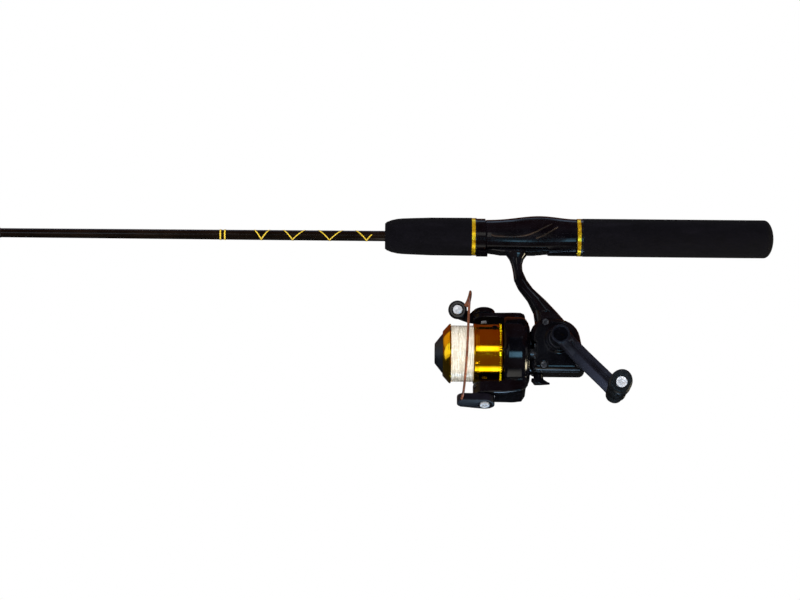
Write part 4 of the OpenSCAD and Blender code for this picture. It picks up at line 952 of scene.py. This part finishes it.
def screwHead(name, centre, way, c):
    bm = bmesh.new()
    rings = []
    for out, up in c["profile"]:
        radius, height = c["radius"] * out * mm, c["high"] * up * mm
        turns = [2 * math.pi * k / c["sides"] for k in range(c["sides"] if out else 1)]
        rings.append([bm.verts.new((radius * math.cos(a), radius * math.sin(a), height))
                      for a in turns])
    joined(bm, rings, c["sides"])
    bmesh.ops.recalc_face_normals(bm, faces=bm.faces)
    head = fromBmesh(bm, name)
    for turn in (0, 90):
        bm = bmesh.new()
        bmesh.ops.create_cube(bm, size=1)
        size = (c["slotLong"] * mm, c["slotWide"] * mm, c["slotDeep"] * 2 * mm)
        bmesh.ops.scale(bm, vec=size, verts=bm.verts)
        bmesh.ops.rotate(bm, matrix=Matrix.Rotation(math.radians(turn), 3, "Z"), verts=bm.verts)
        bmesh.ops.translate(bm, vec=(0, 0, c["high"] * c["crown"] * mm), verts=bm.verts)
        cutter = fromBmesh(bm, "slotCutter")
        cut = head.modifiers.new("slot", "BOOLEAN")
        cut.operation, cut.object, cut.solver = "DIFFERENCE", cutter, "EXACT"
        head = settled(head, name)
        bpy.data.objects.remove(cutter)
    turn = Vector(way).to_track_quat("Z", "X").to_matrix().to_4x4()
    head.data.transform(Matrix.Translation(Vector(centre)) @ turn)
    return smoothed(head, c["sharp"])


def rollerScrew(c):
    # it sits in the recess of the cap's outer flat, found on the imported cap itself
    mesh = nodes["roller_cap"].data
    flats = {}
    for face in mesh.polygons:
        key = tuple(round(v, 2) for v in face.normal)
        flats[key] = flats.get(key, 0) + face.area
    way = Vector(max((k for k in flats if k[1] < -0.3), key=lambda k: flats[k])).normalized()
    faces = [f for f in mesh.polygons if f.normal.dot(way) > 0.999]
    floor = min(f.center.dot(way) for f in faces)  # the bottom of the recess
    sunk = [f for f in faces if f.center.dot(way) < floor + c["recess"] * mm]
    area = sum(f.area for f in sunk)
    centre = sum((f.center * f.area for f in sunk), Vector()) / area
    dress(screwHead("capScrew", centre - way * c["sunk"] * mm, way, c), "steel", "bail", "steel")


rollerScrew(capScrew)
print("roller screw set")


# small hardware keeps its packed form, with its curves shaded smooth

hardwareSharp = 38  # degrees
hardware = {
    "blank": ["blank"], "gold": ["rear_trim_ring", "front_trim_ring"], "seat": ["seat_hood"],
    "foam": ["rear_grip", "foregrip"],
    "hardRing": ["guide_ring_1", "guide_ring_2", "guide_ring_3", "tip_top_ring"],
    "guideWire": ["guide_frame_1", "guide_frame_2", "guide_frame_3", "tip_top_frame"],
    "brass": ["line_roller"], "steel": ["bail_pivot_screws", "knob_screw"],
    "rotor": ["handle_cap_screw", "line_clip"], "screwSteel": ["cover_screws"],
    "satinBlack": ["thread_barrel", "axle_bushes"],
}
headForm = {"core": 1.9, "share": 0.4}


def slimHeads(piece, f):
    # the pivot screws' heads end inside their recesses, about the line that the bail turns on
    centre, core = middle("bail_pivot_screws"), f["core"] * mm
    joints = frame["record"]["behaviour"]["joints"]
    axis = Vector(next(j["axis"] for j in joints if j["name"] == "bail_open")).normalized()
    for vertex in piece.data.vertices:
        along = (vertex.co - centre).dot(axis) * axis
        out = vertex.co - centre - along
        if out.length > core:
            radius = core + (out.length - core) * f["share"]
            vertex.co = centre + along + out.normalized() * radius


def keepForm(nodeName, look):
    record = frame["record"]
    slotName = next(row["material_slot"] for row in record["subparts"] if row["node"] == nodeName)
    body = next(b for b, names in record["behaviour"]["bodies"].items() if nodeName in names)
    words = nodeName.split("_")
    name = words[0] + "".join(w.capitalize() for w in words[1:]) + "Form"
    piece = smoothed(settled(draft(nodeName, name, copying), name), hardwareSharp)
    if nodeName == "bail_pivot_screws":
        slimHeads(piece, headForm)
    dress(piece, look, body, slotName, nodeName)


for look, names in hardware.items():
    for name in names:
        keepForm(name, look)
print("hardware smoothed")


# a look-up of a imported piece's skin, so that trim lies on it

class Skin:
    def __init__(self, nodeName):
        mesh = nodes[nodeName].data
        corners = [v.co for v in mesh.vertices]
        self.tree = BVHTree.FromPolygons(corners, [p.vertices for p in mesh.polygons])

    def hit(self, start, way):
        # where a line meets the skin, and the skin's normal there
        return self.tree.ray_cast(Vector(start), Vector(way))[:2]

    def girth(self, x):
        # the radius about the rod's axis
        return self.hit((x, 0.0, 0.05), (0, 0, -1))[0].z


# the gold zigzag on the blank: each ring leans, and two of them make a V on both sides

zigzag = {
    "foot": [-262.3, -242.7, -219.4, -196.1], "left": [-266.7, -248.4, -226.4, -202.8],
    "right": [-257.2, -234.9, -211.2, -189.4], "width": 0.95, "thick": 0.14, "clear": 0.03,
    "around": 56, "whole": 2.0, "lastRise": 0.1,  # shares of a ring's height: the last one is cut
}


def zigzagWrap(z):
    skin = Skin("blank")
    centres, lean, girth, rise = [], [], [], []
    for foot, left, right in zip(z["foot"], z["left"], z["right"]):
        for top in (left, right):
            centre = (foot + top) / 2 * mm
            centres.append((centre, 0, 0))
            lean.append((top - foot) / 2 * mm)
            girth.append(skin.girth(centre))
            rise.append(z["lastRise"] if top == z["right"][-1] else z["whole"])
    base = newMesh("zigzagBase", centres, [])
    for key, values in (("lean", lean), ("girth", girth), ("rise", rise)):
        base.data.attributes.new(key, "FLOAT", "POINT").data.foreach_set("value", values)
    t = Tree("leaningRings", {
        "Width": z["width"] * mm, "Around": z["around"], "Material": looks["goldThread"]})
    ring = t.node("GeometryNodeMeshCylinder", {"fill_type": "NONE"}, {
        "Vertices": t.given("Around"), "Side Segments": 2, "Radius": 1.0,
        "Depth": t.given("Width")})
    ring = t.node("GeometryNodeTransform", {}, {
        "Geometry": ring, "Rotation": (0, math.radians(90), 0)})
    size = t.attribute("girth")
    bore = t.maths("ADD", size, z["clear"] * mm)
    rings = t.node("GeometryNodeInstanceOnPoints", {}, {
        "Points": t.inlet.outputs[0], "Instance": ring, "Scale": t.xyz(1.0, bore, bore)})
    whole = t.node("GeometryNodeRealizeInstances", {}, {0: rings})
    where = t.node("GeometryNodeInputPosition", {}, {})
    height = t.node("ShaderNodeSeparateXYZ", {}, {0: where}, 2)
    share = t.maths("DIVIDE", height, size)
    shift = t.xyz(t.maths("MULTIPLY", share, t.attribute("lean")), 0.0, 0.0)
    whole = t.node("GeometryNodeSetPosition", {}, {"Geometry": whole, "Offset": shift})
    past = t.node("FunctionNodeCompare", {"operation": "GREATER_THAN"}, {
        0: share, 1: t.attribute("rise")})
    t.finished(t.node("GeometryNodeDeleteGeometry", {"domain": "POINT"}, {0: whole, 1: past}))
    piece = t.make(base, "zigzagRings")
    wall = piece.modifiers.new("wall", "SOLIDIFY")
    wall.thickness, wall.offset = z["thick"] * mm, 1.0
    dress(settled(piece, "zigzagWrap"), "goldThread", "rod", "gold_thread")


zigzagWrap(zigzag)
print("zigzag wrapped")


# low ridges that run over the seat's palm swell, coloured lighter as a painted highlight

ridges = {
    "paths": [  # x and z in mm
        [(-118, -1.4), (-115, -2.4), (-104, -2.6), (-96, -1.6), (-90, 0.7), (-84.4, 3.7),
         (-79.6, 6.2)],
        [(-90, -3.6), (-85, -1.6), (-80, 1.4), (-76, 4.0)],
    ],
    "wide": 0.5, "high": 0.36, "steps": 60, "fadeSteps": 8, "endWidth": 0.4, "sunk": 0.05,
    "arc": (200, 160, 125, 90, 55, 20, -20),  # degrees round the section
}


def between(p, q, r, s, f):
    # a Catmull-Rom spline between q and r
    return 0.5 * (2 * q + (r - p) * f + (2 * p - 5 * q + 4 * r - s) * f * f
                  + (3 * q - p - 3 * r + s) * f ** 3)


def curved(points, steps):
    # a smooth line through the points, in equal steps of the parameter
    line, last = [], len(points) - 1
    for i in range(steps + 1):
        u = i / steps * last
        k = min(int(u), last - 1)
        near = [points[max(0, min(last, k + j))] for j in (-1, 0, 1, 2)]
        line.append(tuple(between(*values, u - k) for values in zip(*near)))
    return line


def laidOn(skin, path, side, steps):
    # the places and normals where the path, seen from the side, lies on the skin
    hits = [skin.hit((x * mm, side * 0.05, z * mm), (0, -side, 0)) for x, z in curved(path, steps)]
    return [(place, normal) for place, normal in hits if place]


def addRidge(r, row, points, faces):
    start, n = len(points), len(r["arc"])
    for i, (place, normal) in enumerate(row):
        along = (row[min(i + 1, len(row) - 1)][0] - row[max(i - 1, 0)][0]).normalized()
        across = along.cross(normal).normalized()
        fade = min(1.0, i / r["fadeSteps"], (len(row) - 1 - i) / r["fadeSteps"]) ** 0.5
        wide = r["wide"] * mm * (r["endWidth"] + (1 - r["endWidth"]) * fade)
        for a in map(math.radians, r["arc"]):
            up = math.sin(a) * r["high"] * mm * fade - r["sunk"] * mm
            points.append(place + across * (math.cos(a) * wide) + normal * up)
        for k in range(n if i else 0):
            a, b = start + (i - 1) * n + k, start + (i - 1) * n + (k + 1) % n
            faces.append((a, b, b + n, a + n))
    end = len(points) - n
    faces.append(tuple(start + k for k in range(n)))
    faces.append(tuple(end + n - 1 - k for k in range(n)))


def seatRidges(r):
    skin = Skin("seat_body")
    points, faces = [], []
    for path in r["paths"]:
        for side in (-1, 1):
            addRidge(r, laidOn(skin, path, side, r["steps"]), points, faces)
    piece = newMesh("seatRidges", points, faces)
    bm = bmesh.new()
    bm.from_mesh(piece.data)
    bmesh.ops.recalc_face_normals(bm, faces=bm.faces)
    bm.to_mesh(piece.data)
    bm.free()
    piece.data.shade_smooth()
    dress(piece, "ridge", "rod", "seat_black")


seatRidges(ridges)
print("seat ridges laid")
